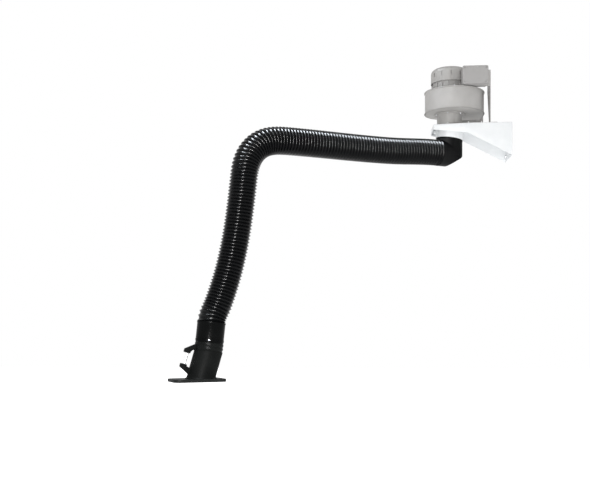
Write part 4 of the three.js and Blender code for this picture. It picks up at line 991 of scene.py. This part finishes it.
# Inner pieces: the jointed arm in the hose, its spiders and stem, the impeller, the box's sheet.
# Their shapes are right as packed; they only get their finishes.
slots = {part["node"]: part["material_slot"] for part in frame["record"]["subparts"]}
finishes = {"zinc_steel": zinc_steel, "black_rubber": black_rubber, "grey_paint": grey_paint,
            "grey_plastic": grey_plastic, "black_plastic": black_plastic, "black_hose": black_hose,
            "white_powder": white_powder, "bright_metal": bright_metal}
for name, node in frame["nodes"].items():
    node.data.materials.clear()
    node.data.materials.append(finishes[slots[name]])

# Studio: a pale floor far below, a white surround and five soft lamps.
# Floor and surround are white to the camera and in reflections, and light the object in part.
FLOOR_SIZE = 60
FLOOR_HEIGHT = -2.9
FLOOR_TO_SIGHT = 0.85
FLOOR_TO_OBJECT = 0.4
SURROUND_LIGHT = 0.77
bpy.ops.mesh.primitive_plane_add(size=FLOOR_SIZE, location=(-1, 0, FLOOR_HEIGHT))
floor = bpy.context.object
floor.name = "floor"
floor_finish = bpy.data.materials.new("floor_white")
floor_finish.use_nodes = True


def white_to_sight(tree):
    """A light path, and a value that is 1 for what is seen directly, mirrored or through glass."""
    path = tree.nodes.new("ShaderNodeLightPath").outputs
    bare = calculate(tree, "MAXIMUM", path["Is Camera Ray"], path["Is Glossy Ray"])
    return path, calculate(tree, "MAXIMUM", bare, path["Is Transmission Ray"])


floor_tree = floor_finish.node_tree
floor_shader = floor_tree.nodes["Principled BSDF"]
floor_shader.inputs["Base Color"].default_value = (0.94, 0.94, 0.94, 1)
floor_shader.inputs["Roughness"].default_value = 0.9
floor_shader.inputs["Specular IOR Level"].default_value = 0.0
floor_shader.inputs["Emission Color"].default_value = (1, 1, 1, 1)
floor_path, floor_seen = white_to_sight(floor_tree)
to_sight = calculate(floor_tree, "MULTIPLY", floor_seen, FLOOR_TO_SIGHT)
glow = calculate(
    floor_tree, "MULTIPLY_ADD", floor_path["Is Diffuse Ray"], FLOOR_TO_OBJECT, to_sight)
floor_tree.links.new(glow, floor_shader.inputs["Emission Strength"])
floor.data.materials.append(floor_finish)


def lamp(name, place, target, width, height, power, colour, mirrored=True, spread=True):
    """A soft lamp that shines on the object, is mirrored in it, or both."""
    bpy.ops.object.light_add(type="AREA", location=place)
    light = bpy.context.object
    light.name = name
    light.rotation_euler = (Vector(target) - Vector(place)).to_track_quat("-Z", "Y").to_euler()
    light.data.shape = "RECTANGLE"
    light.data.size = width
    light.data.size_y = height
    light.data.energy = power
    light.data.color = colour
    light.visible_glossy = mirrored
    light.visible_diffuse = spread


lamp("key", (-1.75, -4.4, -0.2), (-1.75, -0.6, -0.4), 0.26, 4.0, 1000, (1.0, 0.99, 0.98),
     spread=False)
lamp("top", (-2.2, -0.75, 1.9), (-1.3, -0.4, 0), 0.9, 1.2, 470, (0.88, 0.94, 1.0), spread=False)
lamp("brow", (-2.0, -2.6, 2.3), (-1.3, -0.4, -0.1), 0.9, 1.2, 120, (0.9, 0.95, 1.0),
     spread=False)
lamp("side", (-4.2, -3.2, 1.6), (-1.6, -0.5, -0.3), 2.4, 2.0, 18, (0.94, 0.97, 1.0))
lamp("fill", (-0.6, -3.4, -1.4), (-0.4, 0, 0.2), 1.4, 1.4, 28, (1.0, 1.0, 1.0), mirrored=False)

world = bpy.data.worlds.new("surround")
bpy.context.scene.world = world
world.use_nodes = True
world_tree = world.node_tree
background = world_tree.nodes["Background"]
background.inputs["Color"].default_value = (1, 1, 1, 1)
strength = calculate(world_tree, "MAXIMUM", white_to_sight(world_tree)[1], SURROUND_LIGHT)
world_tree.links.new(strength, background.inputs["Strength"])
